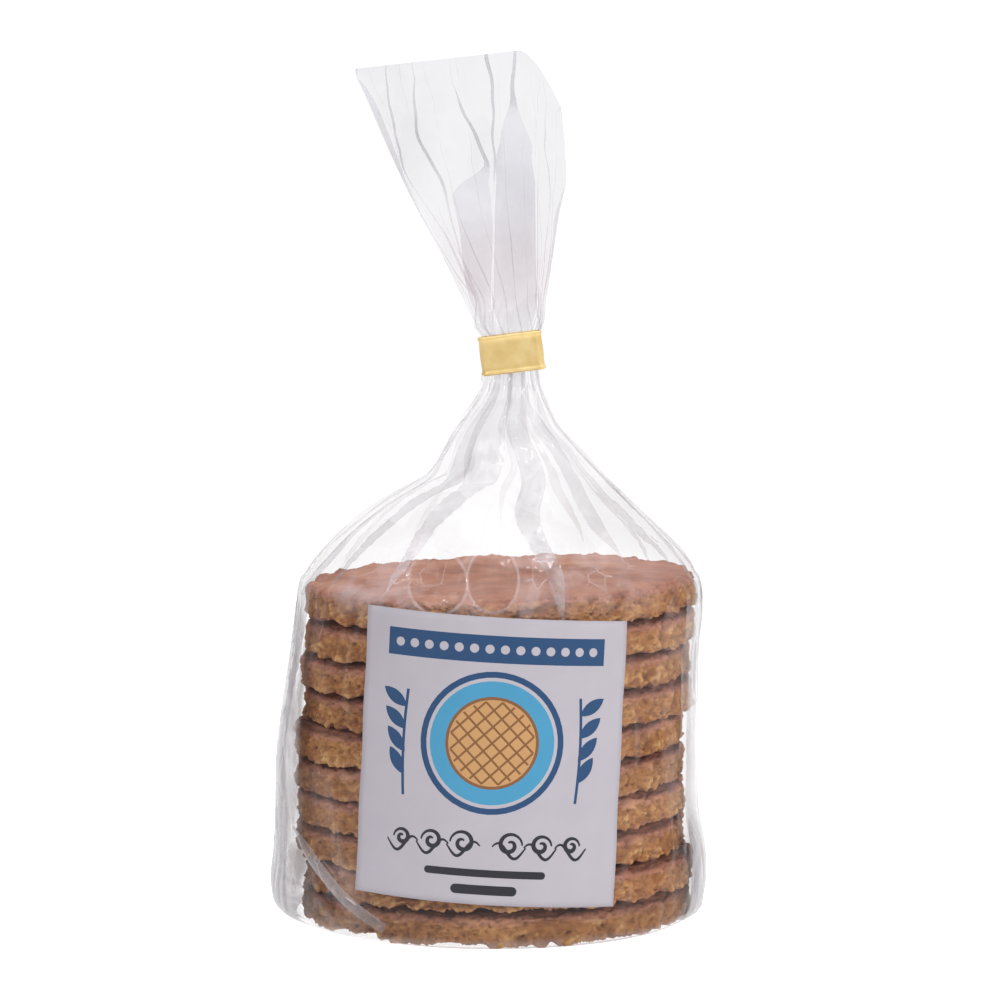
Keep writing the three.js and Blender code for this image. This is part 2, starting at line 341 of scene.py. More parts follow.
def principled(tree, **values):
    """A Principled shader from named values: underscores stand for spaces."""
    node = tree.nodes.new("ShaderNodeBsdfPrincipled")
    for name, value in values.items():
        connect(tree, node.inputs[name.replace("_", " ").title().replace("Ior", "IOR")], value)
    return Field(tree, node.outputs[0])


def bump(tree, height, strength, distance):
    """The normal of a surface that a height raises."""
    inputs = {"Height": height, "Strength": strength, "Distance": distance}
    return output_of(tree, "ShaderNodeBump", inputs)


def attribute(tree, name):
    """A number that the mesh stores at each of its points."""
    return output_of(tree, "ShaderNodeAttribute", output="Fac", attribute_name=name)


def facet_heights(tree, place, scale):
    """Flat-sided hills that meet in sharp creases."""
    inputs = {"Vector": place, "Scale": scale}
    return output_of(
        tree, "ShaderNodeTexVoronoi", inputs, output="Distance", feature="DISTANCE_TO_EDGE"
    )


def pane_tones(tree, place, scale):
    """A value from 0 to 1 for each flat pane of the film."""
    inputs = {"Vector": place, "Scale": scale}
    color = output_of(tree, "ShaderNodeTexVoronoi", inputs, output="Color")
    return output_of(tree, "ShaderNodeSeparateColor", {0: color})


def waffle_material():
    """Baked crumb, by the marks that the waffle's shape stores on its mesh."""
    made, tree, place = material("waffle_crumb")
    painted_shade = attribute(tree, "painted_shade")
    skin = attribute(tree, "skin")
    grain = noise(tree, place, 600, 4, 0.6)
    cloud = noise(tree, place, 90, 3, 0.55)
    crumb = cloud.ramp(
        (0.3, (0.35, 0.145, 0.052)), (0.5, (0.46, 0.210, 0.078)), (0.72, (0.57, 0.295, 0.118))
    )
    toasted = grain.ramp((0.3, (0.70, 0.62, 0.55)), (0.6, (1.0, 1.0, 1.0)))
    crumb = mixed(tree, 1.0, crumb, toasted, "MULTIPLY")
    baked = cloud.ramp(
        (0.3, (0.31, 0.130, 0.080)), (0.5, (0.44, 0.195, 0.122)), (0.75, (0.56, 0.280, 0.175))
    )
    color = mixed(tree, skin, crumb, baked)
    # painted highlight: paler gold on the crumb's raised lumps
    color = mixed(tree, attribute(tree, "crest_highlight") * 0.7, color, (0.70, 0.42, 0.17))
    # painted shade: the crumb goes dark in its hollows, cracks and pits, and on its rim under the
    # waffle above
    color = mixed(tree, painted_shade, color, (0.12, 0.042, 0.030))
    specks = noise(tree, place, 1100, 1).smooth(0.60, 0.68) * cloud.smooth(0.42, 0.55)
    color = mixed(tree, specks * (1.0 - skin) * 0.5, color, (0.16, 0.055, 0.020))
    # painted shade: a whole waffle darker, the lowest one most
    color = mixed(tree, attribute(tree, "whole_shade"), color, (0.0, 0.0, 0.0))
    relief = bump(tree, grain * (1.0 - skin * 0.5), 0.75, 0.0005)
    finish_material(
        tree,
        principled(
            tree, base_color=color, roughness=0.72, specular_ior_level=0.15, normal=relief
        ),
    )
    return made


def syrup_material():
    """Set caramel syrup."""
    made, tree, place = material("syrup")
    cloud = noise(tree, place, 300, 3)
    tone = cloud.ramp((0.3, (0.10, 0.028, 0.008)), (0.7, (0.22, 0.075, 0.02)))
    finish_material(tree, principled(tree, base_color=tone, roughness=0.45))
    return made


# Ovals on the film's front: middle and reach, right of the stack's axis and up, in millimetres.
TOUCHES = ((-12.3, 72.5, 5.9, 5.9), (-1.4, 73.2, 5.1, 6.1))  # where it touches the top waffle
PALE_PATCH = (-31.5, 69.8, 7.5, 1.7)  # where it is cloudy over that waffle's rim

# Colours that the film lets through.
STACK_TINT = (0.944, 0.943, 0.955)
ROSY_TINT = (0.955, 0.938, 0.948)
MOUTH_TINT = (0.977, 0.974, 0.978)
WALL_SHADE = (0.20, 0.17, 0.18)
# Colours of its cloudiness: grey where it is scuffed and for the painted grey reflection on its
# walls, and pale where it is misty and for the painted sheen over the top waffle.
WORN_AND_REFLECTED_GREY = (0.50, 0.47, 0.49)
MIST_AND_SHEEN_COLOR = (0.86, 0.79, 0.82)
FILM_GLOSS = 0.09  # roughness
BLACK_TINT = (0.0, 0.0, 0.0)
NO_TINT = (1.0, 1.0, 1.0)


class FilmLook:
    """What the film's material is made of: zones of the bag, 1 inside each, and their looks."""

    def __init__(self, tree, place):
        self.tree = tree
        self.place = place
        self.x, self.y, self.z = x, y, z = axes_of(tree, place)
        self.front = y.smooth(-0.02, -0.03)
        self.wall = z.smooth(0.070, 0.060)
        self.shoulder = z.smooth(0.062, 0.078)
        self.brim = z.smooth(0.066, 0.070) * z.smooth(0.082, 0.076)
        self.flare = z.smooth(0.118, 0.134)
        self.neck = z.smooth(0.088, 0.104) * (1.0 - self.flare)
        self.right = x.smooth(0.014, 0.020) * z.smooth(0.070, 0.074) * z.smooth(0.092, 0.086)
        self.corner = x.smooth(-0.022, -0.030) * z.smooth(0.020, 0.010)

        stretch = vector_math(tree, "MULTIPLY", first=place, second=(1.0, 1.0, 0.55))
        self.facets = facet_heights(tree, stretch, 210)
        self.pane = pane_tones(tree, stretch, 105)
        self.soft = noise(tree, place, 110, 3, 0.5)
        self.patchy = noise(tree, place, 95, 3, 0.6).smooth(0.36, 0.6)
        self.layered = attribute(tree, "fold")
        self.fold = self.layered.maximum(0.0) * (self.soft.smooth(0.3, 0.65) * 0.5 + 0.7)
        self.relief = self.creases()
        self.grazing = output_of(
            tree, "ShaderNodeLayerWeight", {"Blend": 0.5, "Normal": self.relief}, output="Facing"
        )

    def creases(self):
        """Soft waves, and sharp creases where the film is crumpled."""
        crumpled = noise(self.tree, self.place, 38, 2, 0.5).smooth(0.48, 0.62)
        crumpled = crumpled.maximum(self.brim * 0.8).maximum(self.right).maximum(self.corner)
        height = (self.soft * 0.4 + self.facets * crumpled * 1.1) * (1.0 - self.flare * 0.7)
        return bump(self.tree, height, 0.35, 0.0012)

    def mirror(self):
        """The share of the light that the two faces of the film reflect."""
        calm = 1.0 - self.shoulder * 0.84 - self.flare * 0.14
        surface = self.grazing.math("POWER", 4.5) * 0.4 * calm + 0.010 - self.flare * 0.007
        return (surface * 2.0) / (surface + 1.0)

    def tint(self):
        """The colour that the film lets through, darker in its folds and along its walls."""
        rosy = self.z.smooth(0.152, 0.130)
        tint = mixed(self.tree, rosy, STACK_TINT, ROSY_TINT)
        tint = mixed(self.tree, self.flare, MOUTH_TINT, tint)
        clearer = (self.layered * -1.0).maximum(0.0)
        tint = mixed(self.tree, clearer, tint, NO_TINT)
        creased = self.shoulder * noise(self.tree, self.place, 45, 1).smooth(0.35, 0.6)
        dim = creased * 0.045 * (1.0 - self.flare) + self.flare * 0.022
        folded = self.fold * (0.18 - self.neck * 0.07) + self.pane.smooth(0.45, 1.0) * dim
        tint = mixed(self.tree, folded, tint, BLACK_TINT)
        outer_right = self.x.smooth(0.0372, 0.0398)
        low_right = self.x.smooth(0.0395, 0.042) * self.z.smooth(0.030, 0.012)
        shade = self.grazing.smooth(0.88, 0.985) * 0.2 + outer_right * 0.11 + low_right * 0.05
        return mixed(self.tree, shade * self.wall, tint, WALL_SHADE)

    def wear_and_reflection(self):
        """How cloudy the film is where it is scuffed, on its walls, at its foot and in its folds,
        with painted grey reflection on its walls and at its edges seen at a glance.
        """
        x, z, patchy = self.x, self.z, self.patchy
        streaks = vector_math(self.tree, "MULTIPLY", first=self.place, second=(1.0, 1.0, 0.2))
        streaks = noise(self.tree, streaks, 230, 3, 0.6).smooth(0.36, 0.62)
        # partly painted reflection: a grey band down each wall
        left_wall = x.smooth(-0.0378, -0.0398) * self.wall * (streaks * 0.38 + 0.28)
        right_wall = x.smooth(0.0398, 0.0418) * self.wall * (streaks * 0.06 + 0.08)
        left_foot = x.smooth(-0.037, -0.0405) * z.smooth(0.038, 0.020) * (patchy * 0.25 + 0.39)
        right_foot = x.smooth(0.041, 0.0435) * z.smooth(0.026, 0.014) * 0.45
        worn_and_reflected = left_wall.maximum(left_foot) + right_wall.maximum(right_foot)
        # painted reflection: grey where the film is seen at a glance
        edge = self.grazing.smooth(0.92, 1.0) * 0.45
        worn_and_reflected = worn_and_reflected + edge * (1.0 - self.flare) * (1.0 - self.shoulder * 0.9)
        foot = z.smooth(0.0024, 0.0008) * 0.16
        worn_and_reflected = worn_and_reflected.maximum(foot) + self.corner * patchy * 0.2 + self.right * 0.07
        worn_and_reflected = worn_and_reflected + self.fold * 0.06 + (self.layered - 1.0).maximum(0.0)
        hazy = x.smooth(-0.002, -0.018) * z.smooth(0.145, 0.158) * 0.09 + 0.045
        clouds = noise(self.tree, self.place, 60, 3, 0.6).smooth(0.3, 0.6)
        return worn_and_reflected + self.flare * clouds * hazy

    def mist_and_sheen(self):
        """How cloudy the film's front is where it lies on the top waffle or near it: partly misty,
        partly a painted bright sheen in place of its reflection, with painted highlight rings
        round where it touches and painted glints along its creases.
        """
        tree, place, x, z, front = self.tree, self.place, self.x, self.z, self.front
        # partly painted sheen: a pale veil on the front over the top waffle
        mist_and_sheen = noise(tree, place, 140, 3, 0.6).smooth(0.3, 0.6) * front * (self.pane * 0.8 + 0.6)
        mist_and_sheen = mist_and_sheen * z.smooth(0.063, 0.069) * z.smooth(0.086, 0.078)
        mist_and_sheen = mist_and_sheen * (0.17 - x.smooth(0, 0.03) * 0.1)
        for oval in TOUCHES:
            off = distance_in_ovals(x, z, *oval)
            # painted highlight: a bright ring round each place where the film touches
            rim = off.smooth(0.92, 0.98) * off.smooth(1.07, 1.01)
            rim = rim * front * (self.patchy * 0.5 + 0.6)
            mist_and_sheen = mist_and_sheen * (off.smooth(0.9, 1.02) * 0.6 + 0.4) + rim * 0.13
        # painted glints: bright lines along the creases of the facets
        crease_glints = self.facets.smooth(0.035, 0.0) * noise(tree, place, 160, 1).smooth(0.52, 0.62)
        mist_and_sheen = mist_and_sheen + crease_glints * (z.smooth(0.070, 0.073) * self.brim + self.corner) * front * 0.2
        spot = distance_in_ovals(x, z, *PALE_PATCH) + (self.patchy - 0.5) * 0.5
        return mist_and_sheen + spot.smooth(1.4, 0.4) * front * 0.2


def distance_in_ovals(x, z, middle_x, middle_z, reach_x, reach_z):
    """How far out of an oval a place is: 1 on its edge. Lengths in millimetres."""
    across = (x - AXIS_X - middle_x * MM) / (reach_x * MM)
    along = (z - middle_z * MM) / (reach_z * MM)
    return (across * across + along * along).math("SQRT")


def film_material():
    """Thin clear film: creased facets, a mirror at a glance, and cloudy where it is scuffed, with
    painted grey reflection on its walls and a painted sheen and glints over the top waffle.
    """
    made, tree, place = material("clear_film")
    look = FilmLook(tree, place)
    worn_and_reflected, mist_and_sheen = look.wear_and_reflection(), look.mist_and_sheen()
    clear = output_of(tree, "ShaderNodeBsdfTransparent", {"Color": look.tint()})
    haze_color = mixed(tree, mist_and_sheen / (mist_and_sheen + 0.02), WORN_AND_REFLECTED_GREY, MIST_AND_SHEEN_COLOR)
    haze = output_of(tree, "ShaderNodeBsdfDiffuse", {"Color": haze_color})
    body = output_of(
        tree, "ShaderNodeMixShader", {0: worn_and_reflected + mist_and_sheen + 0.004, 1: clear, 2: haze}
    )
    gloss = output_of(
        tree, "ShaderNodeBsdfAnisotropic",
        {"Color": (*NO_TINT, 1), "Roughness": FILM_GLOSS, "Normal": look.relief},
    )
    finish_material(
        tree, output_of(tree, "ShaderNodeMixShader", {0: look.mirror(), 1: body, 2: gloss})
    )
    return made


def gold_material(dark, light):
    """Brushed gold film over paper."""
    made, tree, place = material("gold_strip")
    brushed = noise(tree, place, 400, 3)
    color = brushed.ramp((0.3, dark), (0.7, light))
    relief = bump(tree, brushed, 0.15, 0.0002)
    finish_material(
        tree,
        principled(tree, base_color=color, metallic=0.35, roughness=0.36, normal=relief),
    )
    return made


def paper_material(name, color):
    """Coated paper in one colour, plain or printed."""
    made, tree, place = material(name)
    fibre = noise(tree, place, 1500, 3)
    cockle = noise(tree, place, 60, 2)
    relief = bump(tree, cockle + fibre * 0.05, 0.25, 0.001)
    shade = noise(tree, place, 150, 3).ramp(
        (0.3, tuple(c * 0.95 for c in color)), (0.7, color)
    )
    finish_material(tree, principled(tree, base_color=shade, roughness=0.5, normal=relief))
    return made


# ---- the waffles ----

# Lengths are in millimetres. Each waffle's shift to the right, and the share by which it is
# darkened as painted shade, the lowest one most, go from the top one down.
WAFFLE_SHIFTS = (0.1, 0.0, -0.9, -0.3, -2.3, -2.1, -1.9, -2.0, -0.1, -0.8)
WAFFLE_SHADES = (0.0, 0.0, 0.0, 0.0, 0.0, 0.06, 0.0, 0.0, 0.0, 0.18)
WAFFLE_TURN = 0.9  # each one is turned by this much more than the one above it
WAFFLE_LEAN = math.radians(1.7)  # right side up
# The lowest waffle lies flat and the lean grows up the stack.
LEAN_SHARES = tuple(min(1.0, (WAFFLE_COUNT - 1 - k) / 4) for k in range(WAFFLE_COUNT))
TOP_WAFFLE_PITCH = math.radians(0.7)  # the top one's back edge is up
WAFFLE_THICKNESS = 6.6
FACE_EDGE = 6.0  # the faces fall away over this much at their edge
FACE_DROP = 0.5  # by this much at the top
UNDER_DROP = 0.7 * FACE_DROP  # and by this much at the bottom
RIM_REACH = 1.5  # the top edge is rounded by this much inwards
RIM_DROP = 1.4  # and this much downwards
BOTTOM_ROUNDING = 0.6
SIDE_TAPER = -0.2  # the lower edge stands out
MIDDLE_RADIUS = 0.6  # of the smallest ring of each face
AROUND = 760  # points round a waffle
SIDE_ROWS = 20
TOP_FACE_RINGS = 40  # of the top waffle, whose face is seen
HIDDEN_FACE_RINGS = 4
SYRUP_RADIUS = 38.7
SYRUP_AROUND = 160
SYRUP_RIM = ((0.97, 0.5), (1.0, 0.3), (1.004, 0), (1.0, -0.35), (0.97, -0.6))  # share, height


def waffle_profile(face_rings):
    """Radius and height from the middle of the top face, over the rim, to the bottom face."""
    half = WAFFLE_THICKNESS / 2
    flat_radius = WAFFLE_RADIUS - FACE_EDGE
    inner = np.linspace(MIDDLE_RADIUS, flat_radius, face_rings)
    outer = np.linspace(flat_radius + 0.5, WAFFLE_RADIUS - RIM_REACH - 0.2, 9)
    flat = np.concatenate([inner, outer])
    fall = FACE_DROP * np.clip((flat - flat_radius) / FACE_EDGE, 0, 1) ** 2
    top = np.stack([flat, half - fall], axis=1)
    turn = np.linspace(0.08, 1, 11) * math.pi / 2
    low = half - FACE_DROP * ((FACE_EDGE - RIM_REACH) / FACE_EDGE) ** 2
    rim = np.stack([
        WAFFLE_RADIUS - RIM_REACH * (1 - np.sin(turn)),
        low - RIM_DROP * (1 - np.cos(turn)),
    ], axis=1)
    turn = turn[::2]
    bottom = -half + UNDER_DROP
    heights = np.linspace(low - RIM_DROP, bottom + BOTTOM_ROUNDING, SIDE_ROWS)[1:-1]
    share = (heights - heights[0]) / (heights[-1] - heights[0])
    side = np.stack([WAFFLE_RADIUS - SIDE_TAPER * share ** 1.5, heights], axis=1)
    foot_radius = WAFFLE_RADIUS - SIDE_TAPER
    foot = np.stack([
        foot_radius - BOTTOM_ROUNDING * (1 - np.cos(turn)),
        bottom + BOTTOM_ROUNDING * (1 - np.sin(turn)),
    ], axis=1)
    under = np.linspace(foot_radius - BOTTOM_ROUNDING - 0.3, MIDDLE_RADIUS, 10)
    under_fall = UNDER_DROP * np.clip((under - flat_radius) / FACE_EDGE, 0, 1) ** 2
    base = np.stack([under, -half + under_fall], axis=1)
    return np.concatenate([top, rim, side, foot, base])


def waffle_blank(name, face_rings):
    """A plain disc with the waffle's rim, round its own middle."""
    profile = waffle_profile(face_rings)
    angle = np.arange(AROUND) / AROUND * TAU
    rings = np.stack([
        profile[:, :1] * np.cos(angle),
        profile[:, :1] * np.sin(angle),
        np.repeat(profile[:, 1:], AROUND, axis=1),
    ], axis=2).reshape(-1, 3)
    return mesh_object(name, rings * MM, tube_faces(len(profile), AROUND, inside_out=True))


class WaffleCrumb:
    """The fields that shape and colour a waffle, from its place round its own middle."""

    def __init__(self, tree, given):
        self.tree, self.given = tree, given
        place = self.place = output_of(tree, "GeometryNodeInputPosition")
        x, y, z = self.x, self.y, self.z = axes_of(tree, place)
        self.reach = (x * x + y * y).math("SQRT") / given["Radius"]
        side = self.side = self.reach.smooth(0.935, 0.97)
        self.low = (z * -1.0).smooth(0.0006, 0.0026) * side
        seed = given["Seed"]
        squat = vector_math(tree, "MULTIPLY", first=place, second=(1.0, 1.0, 1.7))
        self.cake = noise(tree, squat, 340, 5, 0.7, seed) - 0.5
        self.bulk = noise(tree, squat, 160, 2, 0.5, seed + 7.0) - 0.5
        loose = noise(tree, place, 190, 1, 0.5, seed + 1.0).smooth(0.4, 0.62)
        self.grains = (0.42 - cells(tree, place, 700, seed)) * loose
        folds = noise(tree, squat, 340, 2, 0.5, seed + 2.0) - 0.5
        self.cracks = folds.absolute().smooth(0.03, 0.0)
        holes = noise(tree, place, 620, 1, 0.5, seed + 3.0).smooth(0.63, 0.72)
        level = ((z + 0.0004) / 0.0013).absolute()
        self.pits = holes * side * level.smooth(2.0, 0.8)

    def push(self):
        """How far the surface stands out: lumps and crumbs, with cracks and pits between."""
        lumps, crumbs = self.given["Lump Depth"], self.given["Crumb Depth"]
        ragged = noise(self.tree, self.place, 560, 3, 0.6, self.given["Seed"] + 5.0) - 0.5
        out = self.cake * lumps * 4.2 + self.grains * crumbs * 1.5
        out = out + self.bulk * lumps * 5.0 - self.cracks * crumbs * 0.9
        out = out * (self.side * 0.8 + 0.2) - self.pits * 0.0009 + ragged * self.low * 0.0022
        return out.math("MINIMUM", 0.0007)

    def groove(self, across):
        """1 between the iron's grooves and 0 in them, along one direction."""
        step = (across / self.given["Grid Pitch"]).math("FRACT")
        off = (step - 0.5).absolute() * self.given["Grid Pitch"]
        return (off / self.given["Groove Width"]).smooth(0.55, 1.1)

    def lift(self):
        """How far the surface is raised: the pressed grid, a warped face and a sagging edge."""
        tree, place, seed = self.tree, self.place, self.given["Seed"]
        face = self.reach.smooth(0.97, 0.93)
        pressed = self.groove(self.x + 1.0) * self.groove(self.y + 1.0) * face
        sink = pressed * self.z.math("SIGN") * self.given["Groove Depth"] * -1.0
        wave = (noise(tree, place, 90, 2, 0.5, seed + 9.0) - 0.5) * 0.002
        sag = (noise(tree, place, 210, 2, 0.5, seed + 11.0) - 0.5) * self.low * 0.0024
        wavy = self.reach.smooth(0.5, 0.9) * 0.55 + 0.45 - self.side * 0.6
        return sink + wave * wavy + sag

    def marks(self):
        """What the material reads: painted shade in hollows, cracks and pits and under the waffle
        above, baked skin, painted highlights on raised crests, and painted shade over a whole
        waffle.
        """
        cake, grains, side, z = self.cake, self.grains, self.side, self.z
        # painted shade: darker in the crumb's hollows, cracks and pits
        hollow = (cake * 2.2 + grains * 0.8).smooth(0.0, -0.5)
        dark = (self.pits * 0.8).maximum(self.cracks * side * 0.3).maximum(hollow * side * 0.5)
        # painted shade on the top of the rim, under the waffle above it
        rim = side * (z + cake * 0.002).smooth(0.0020, 0.0030) * self.given["Rim Shade"]
        edge = z + cake * 0.004 + self.bulk * 0.004
        cut_side = side * edge.smooth(0.0019, 0.0008) * (z * -1.0).smooth(0.0032, 0.0025)
        # painted highlight on the crumb's raised lumps
        crest_highlight = (cake * 1.6 + self.bulk + grains * 0.8).smooth(0.0, 0.3) * side
        return {
            "painted_shade": dark.maximum(rim),
            "skin": 1.0 - cut_side,
            "crest_highlight": crest_highlight * z.smooth(0.0026, 0.001),
            "whole_shade": self.given["Bake"],
        }


def waffle_tree():
    """Presses the iron's grid into a blank's faces and breaks its cut side into crumbs."""
    tree, given = geometry_tree("waffle", {
        "Radius": 0.04, "Grid Pitch": 0.0055, "Groove Width": 0.0013, "Groove Depth": 0.0003,
        "Lump Depth": 0.0006, "Crumb Depth": 0.0005, "Rim Shade": 0.7, "Bake": 0.0, "Seed": 0.0,
        "Material": None,
    })
    crumb = WaffleCrumb(tree, given)
    geometry = given["Geometry"]
    for name, value in crumb.marks().items():
        geometry = output_of(
            tree, "GeometryNodeStoreNamedAttribute",
            {"Geometry": geometry, "Name": name, "Value": value}, data_type="FLOAT",
        )
    normal = output_of(tree, "GeometryNodeInputNormal")
    push = vector_math(tree, "SCALE", first=normal, scale=crumb.push())
    lift = output_of(tree, "ShaderNodeCombineXYZ", {2: crumb.lift()})
    move = vector_math(tree, "ADD", first=push, second=lift)
    geometry = output_of(tree, "GeometryNodeSetPosition", {"Geometry": geometry, "Offset": move})
    geometry = output_of(
        tree, "GeometryNodeSetMaterial", {"Geometry": geometry, "Material": given["Material"]}
    )
    geometry = output_of(tree, "GeometryNodeRealizeInstances", {"Geometry": geometry})
    out = tree.nodes.new("NodeGroupOutput")
    tree.links.new(geometry.socket, out.inputs[0])
    return tree


def syrup_disc(name, seed, color):
    """The layer of syrup between a waffle's two halves, round their middle."""
    angle = np.arange(SYRUP_AROUND) / SYRUP_AROUND * TAU
    ripple = 0.28 * np.sin(angle * 7 + seed) + 0.2 * np.sin(angle * 17 + 2.3 * seed)
    edge = SYRUP_RADIUS + ripple
    points = np.concatenate([
        np.stack([
            edge * share * np.cos(angle),
            edge * share * np.sin(angle),
            np.full(SYRUP_AROUND, height),
        ], axis=1)
        for share, height in SYRUP_RIM
    ])
    faces = tube_faces(len(SYRUP_RIM), SYRUP_AROUND, inside_out=True)
    return mesh_object(name, points * MM, faces, [color])


def lay_in_stack(made, order, turn):
    """Moves a piece, modelled round its own middle, to its place in the stack."""
    points = np.empty(len(made.data.vertices) * 3)
    made.data.vertices.foreach_get("co", points)
    points = points.reshape(-1, 3)
    x = points[:, 0] * math.cos(turn) - points[:, 1] * math.sin(turn)
    y = points[:, 0] * math.sin(turn) + points[:, 1] * math.cos(turn)
    z = points[:, 2] + x * math.sin(WAFFLE_LEAN) * LEAN_SHARES[order]
    z = z + (WAFFLE_COUNT - order - 0.5) * WAFFLE_PITCH * MM
    if order == 0:
        z = z + (y + WAFFLE_RADIUS * MM) * TOP_WAFFLE_PITCH
    x = x + WAFFLE_SHIFTS[order] * MM + AXIS_X
    made.data.vertices.foreach_set("co", np.stack([x, y, z], axis=1).ravel())
    made.data.update()


class PackWaffleSettings(bpy.types.PropertyGroup):
    grid_pitch: bpy.props.FloatProperty(
        name="Grid pitch", description="Spacing of the iron's pattern", default=5.5 * MM,
        subtype="DISTANCE",
    )
    groove_depth: bpy.props.FloatProperty(
        name="Groove depth", description="Depth of the iron's pattern", default=0.16 * MM,
        subtype="DISTANCE",
    )
    crumb_depth: bpy.props.FloatProperty(
        name="Crumb depth", description="Height of the crumbs on the cut side",
        default=0.5 * MM, subtype="DISTANCE",
    )
    lump_depth: bpy.props.FloatProperty(
        name="Lump depth", description="How unevenly the side is cut", default=0.6 * MM,
        subtype="DISTANCE",
    )


class PACK_OT_waffles(bpy.types.Operator):
    """Builds the stack of waffles"""

    bl_idname = "pack.waffles"
    bl_label = "Waffles"

    def execute(self, context):
        settings = context.scene.pack_waffles
        tree = waffle_tree()
        crumb = waffle_material()
        syrup = syrup_material()
        for order in range(WAFFLE_COUNT):
            name = f"waffle_{order + 1:02d}"
            made = waffle_blank(name, HIDDEN_FACE_RINGS if order else TOP_FACE_RINGS)
            apply_tree(made, tree, {
                "Radius": WAFFLE_RADIUS * MM,
                "Grid Pitch": settings.grid_pitch,
                "Groove Depth": settings.groove_depth,
                "Crumb Depth": settings.crumb_depth,
                "Lump Depth": settings.lump_depth,
                "Rim Shade": 0.0 if order == 0 else 0.75,
                "Bake": WAFFLE_SHADES[order],
                "Seed": 11.0 + 1.7 * order,
                "Material": crumb,
            })
            made.data.materials.clear()
            made.data.materials.append(crumb)
            filling = syrup_disc(f"syrup_{order + 1:02d}", order, syrup)
            for piece in (made, filling):
                lay_in_stack(piece, order, WAFFLE_TURN * order)
                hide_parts("bag")
                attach(piece, "root")
        return {"FINISHED"}


# ---- the film ----

# The bag is a tube of film. Where it is gathered, the width that is left over lies in pleats,
# folded flat. Of each pleat on the front: the side that it is folded to; how cloudy it is below
# the tie, and at heights above it; its course below the tie as height, plan angle with the front
# at -90, and width; and its course above the tie as height, distance right of the stack's axis,
# and width. Lengths are in millimetres. The outer two run down to the foot, as the bag's side
# folds.
FRONT_PLEATS = (
    (
        -1, (0.6, ((152, 0), (154, 0.7), (178, 0.7))),
        ((0, -166, 5), (8, -166, 6), (40, -166, 4), (70, -163, 3), (86, -160, 2),
         (110, -160, 0.5)),
        ((127, -5.2, 0.1), (140, -10.5, 0.05), (152, -18.4, 0.1), (156, -19.9, 0.5),
         (165, -22.2, 0.6), (178, -23.2, 0.3)),
    ),
    (
        -1, (0.7, ((127, 0), (148, 0.1), (151, 0.7), (178, 0.6))),
        ((68, -147, 0), (76, -145, 2.5), (86, -140, 4), (95, -132, 4), (103, -126, 3),
         (110, -120, 1.5)),
        ((127, -4.5, 0.6), (137, -8, 0.2), (145, -10.2, 0.2), (151, -11.4, 0.7),
         (160, -16.3, 0.8), (170, -17.5, 0.5), (178, -18, 0.1)),
    ),
    (
        -1, (0.7, ((120, 0.3), (142, 0.3), (149, -0.9), (153, -0.6), (155, 0.8), (178, 0.8))),
        ((71, -124, 0), (74, -123.5, 2.2), (84, -119, 4.4), (95, -113, 9), (103, -108, 6),
         (110, -104, 3)),
        ((120, -3.7, 2.4), (132, -4.8, 5.8), (142, -5, 7.2), (150, -6, 8.4), (152, -5, 5),
         (154, -2.2, 0.9), (160, -4.7, 0.8), (168, -7.9, 0.6), (171, -9, 0.1),
         (178, -11, 0.05)),
    ),
    (
        -1, (0.5, ((152, 0), (155, 0.8), (178, 1))),
        ((98, -97, 0), (103, -95, 1.2), (110, -92, 0.8)),
        ((127, -1.6, 0.05), (150, -1.3, 0.05), (154, -1.2, 0.5), (166, -1.2, 0.6),
         (178, -2.85, 0.9)),
    ),
    (
        1, (1, ((120, 0.45), (140, 0.45), (153, 0.2), (162, -0.8), (165, -0.5), (167, 1),
                (178, 1))),
        ((64, -73, 0), (74, -74, 3.5), (84, -80, 5), (97, -76, 5), (110, -80, 3.5)),
        ((120, 3.2, 9.4), (128, 3.4, 9.8), (143, 3.4, 9.3), (153, 3.6, 8.6), (160, 3.6, 7.2),
         (164, 2.6, 3.4), (168, 2.3, 0.9), (178, 3.4, 0.8)),
    ),
    (
        1, (0.6, ((127, 0), (178, 0))),
        ((77, -47, 0), (81, -50, 3.2), (92, -48, 4), (101, -46, 3), (110, -62, 1)),
        ((127, 8.2, 0.2), (140, 8.6, 0.05), (178, 6, 0.05)),
    ),
    (
        1, (0.5, ((127, 0), (150, 0.3), (178, 0.3))),
        ((74, -26, 0), (78, -27, 3), (92, -30, 3), (101, -33, 2), (110, -38, 0.8)),
        ((127, 8.6, 0.2), (137, 9.2, 0.1), (150, 10.4, 0.3), (160, 9.6, 0.5), (178, 8.6, 0.05)),
    ),
    (
        1, (0.6, ((127, 0), (178, 0))),
        ((0, -13, 5), (8, -13, 6), (40, -13, 4), (70, -13, 2), (86, -13, 2), (110, -14, 0.5)),
        ((127, 8.9, 0.2), (137, 10.4, 0.05), (178, 12.0, 0.05)),
    ),
)
BACK_PLEATS = 7
BACK_SEED = 5
BACK_SPREAD = (14, 167)  # plan angles of the first and last of them
BACK_STEP = 25.5
BACK_NECK_X = (8, -5.4)  # and their places in the neck and at the mouth
BACK_MOUTH_X = (10, -27)
PLEAT_COLUMNS = 5
COLUMN_STEP = 1.15  # between the points of the film round the bag
COLUMN_COUNT_Z = 60  # where its points are counted out
PLEAT_TURN = 11.0  # over this height above the tie, a pleat takes up its course in the flare
WIGGLE_START = 32.0  # from this height above the tie, its course wiggles
COURSE_ROUNDING = (-1.5, -0.5, 0.5, 1.5)  # its course is a mean over these heights
CLEAR_FOLD = 1.2  # narrower folds than this are clearer
LAYER_GAP = ((0, 95, 108, 124, 145, 178), (1.6, 1.5, 0.5, 0.5, 1.2, 1.5))  # heights, and the gap
LAYER_OPENS = 5.0  # a pleat's layers are at their full gap where it is this wide
FLARE_PINCH = 1.0  # above 0, the flared film is flattened to an edge at its left and right
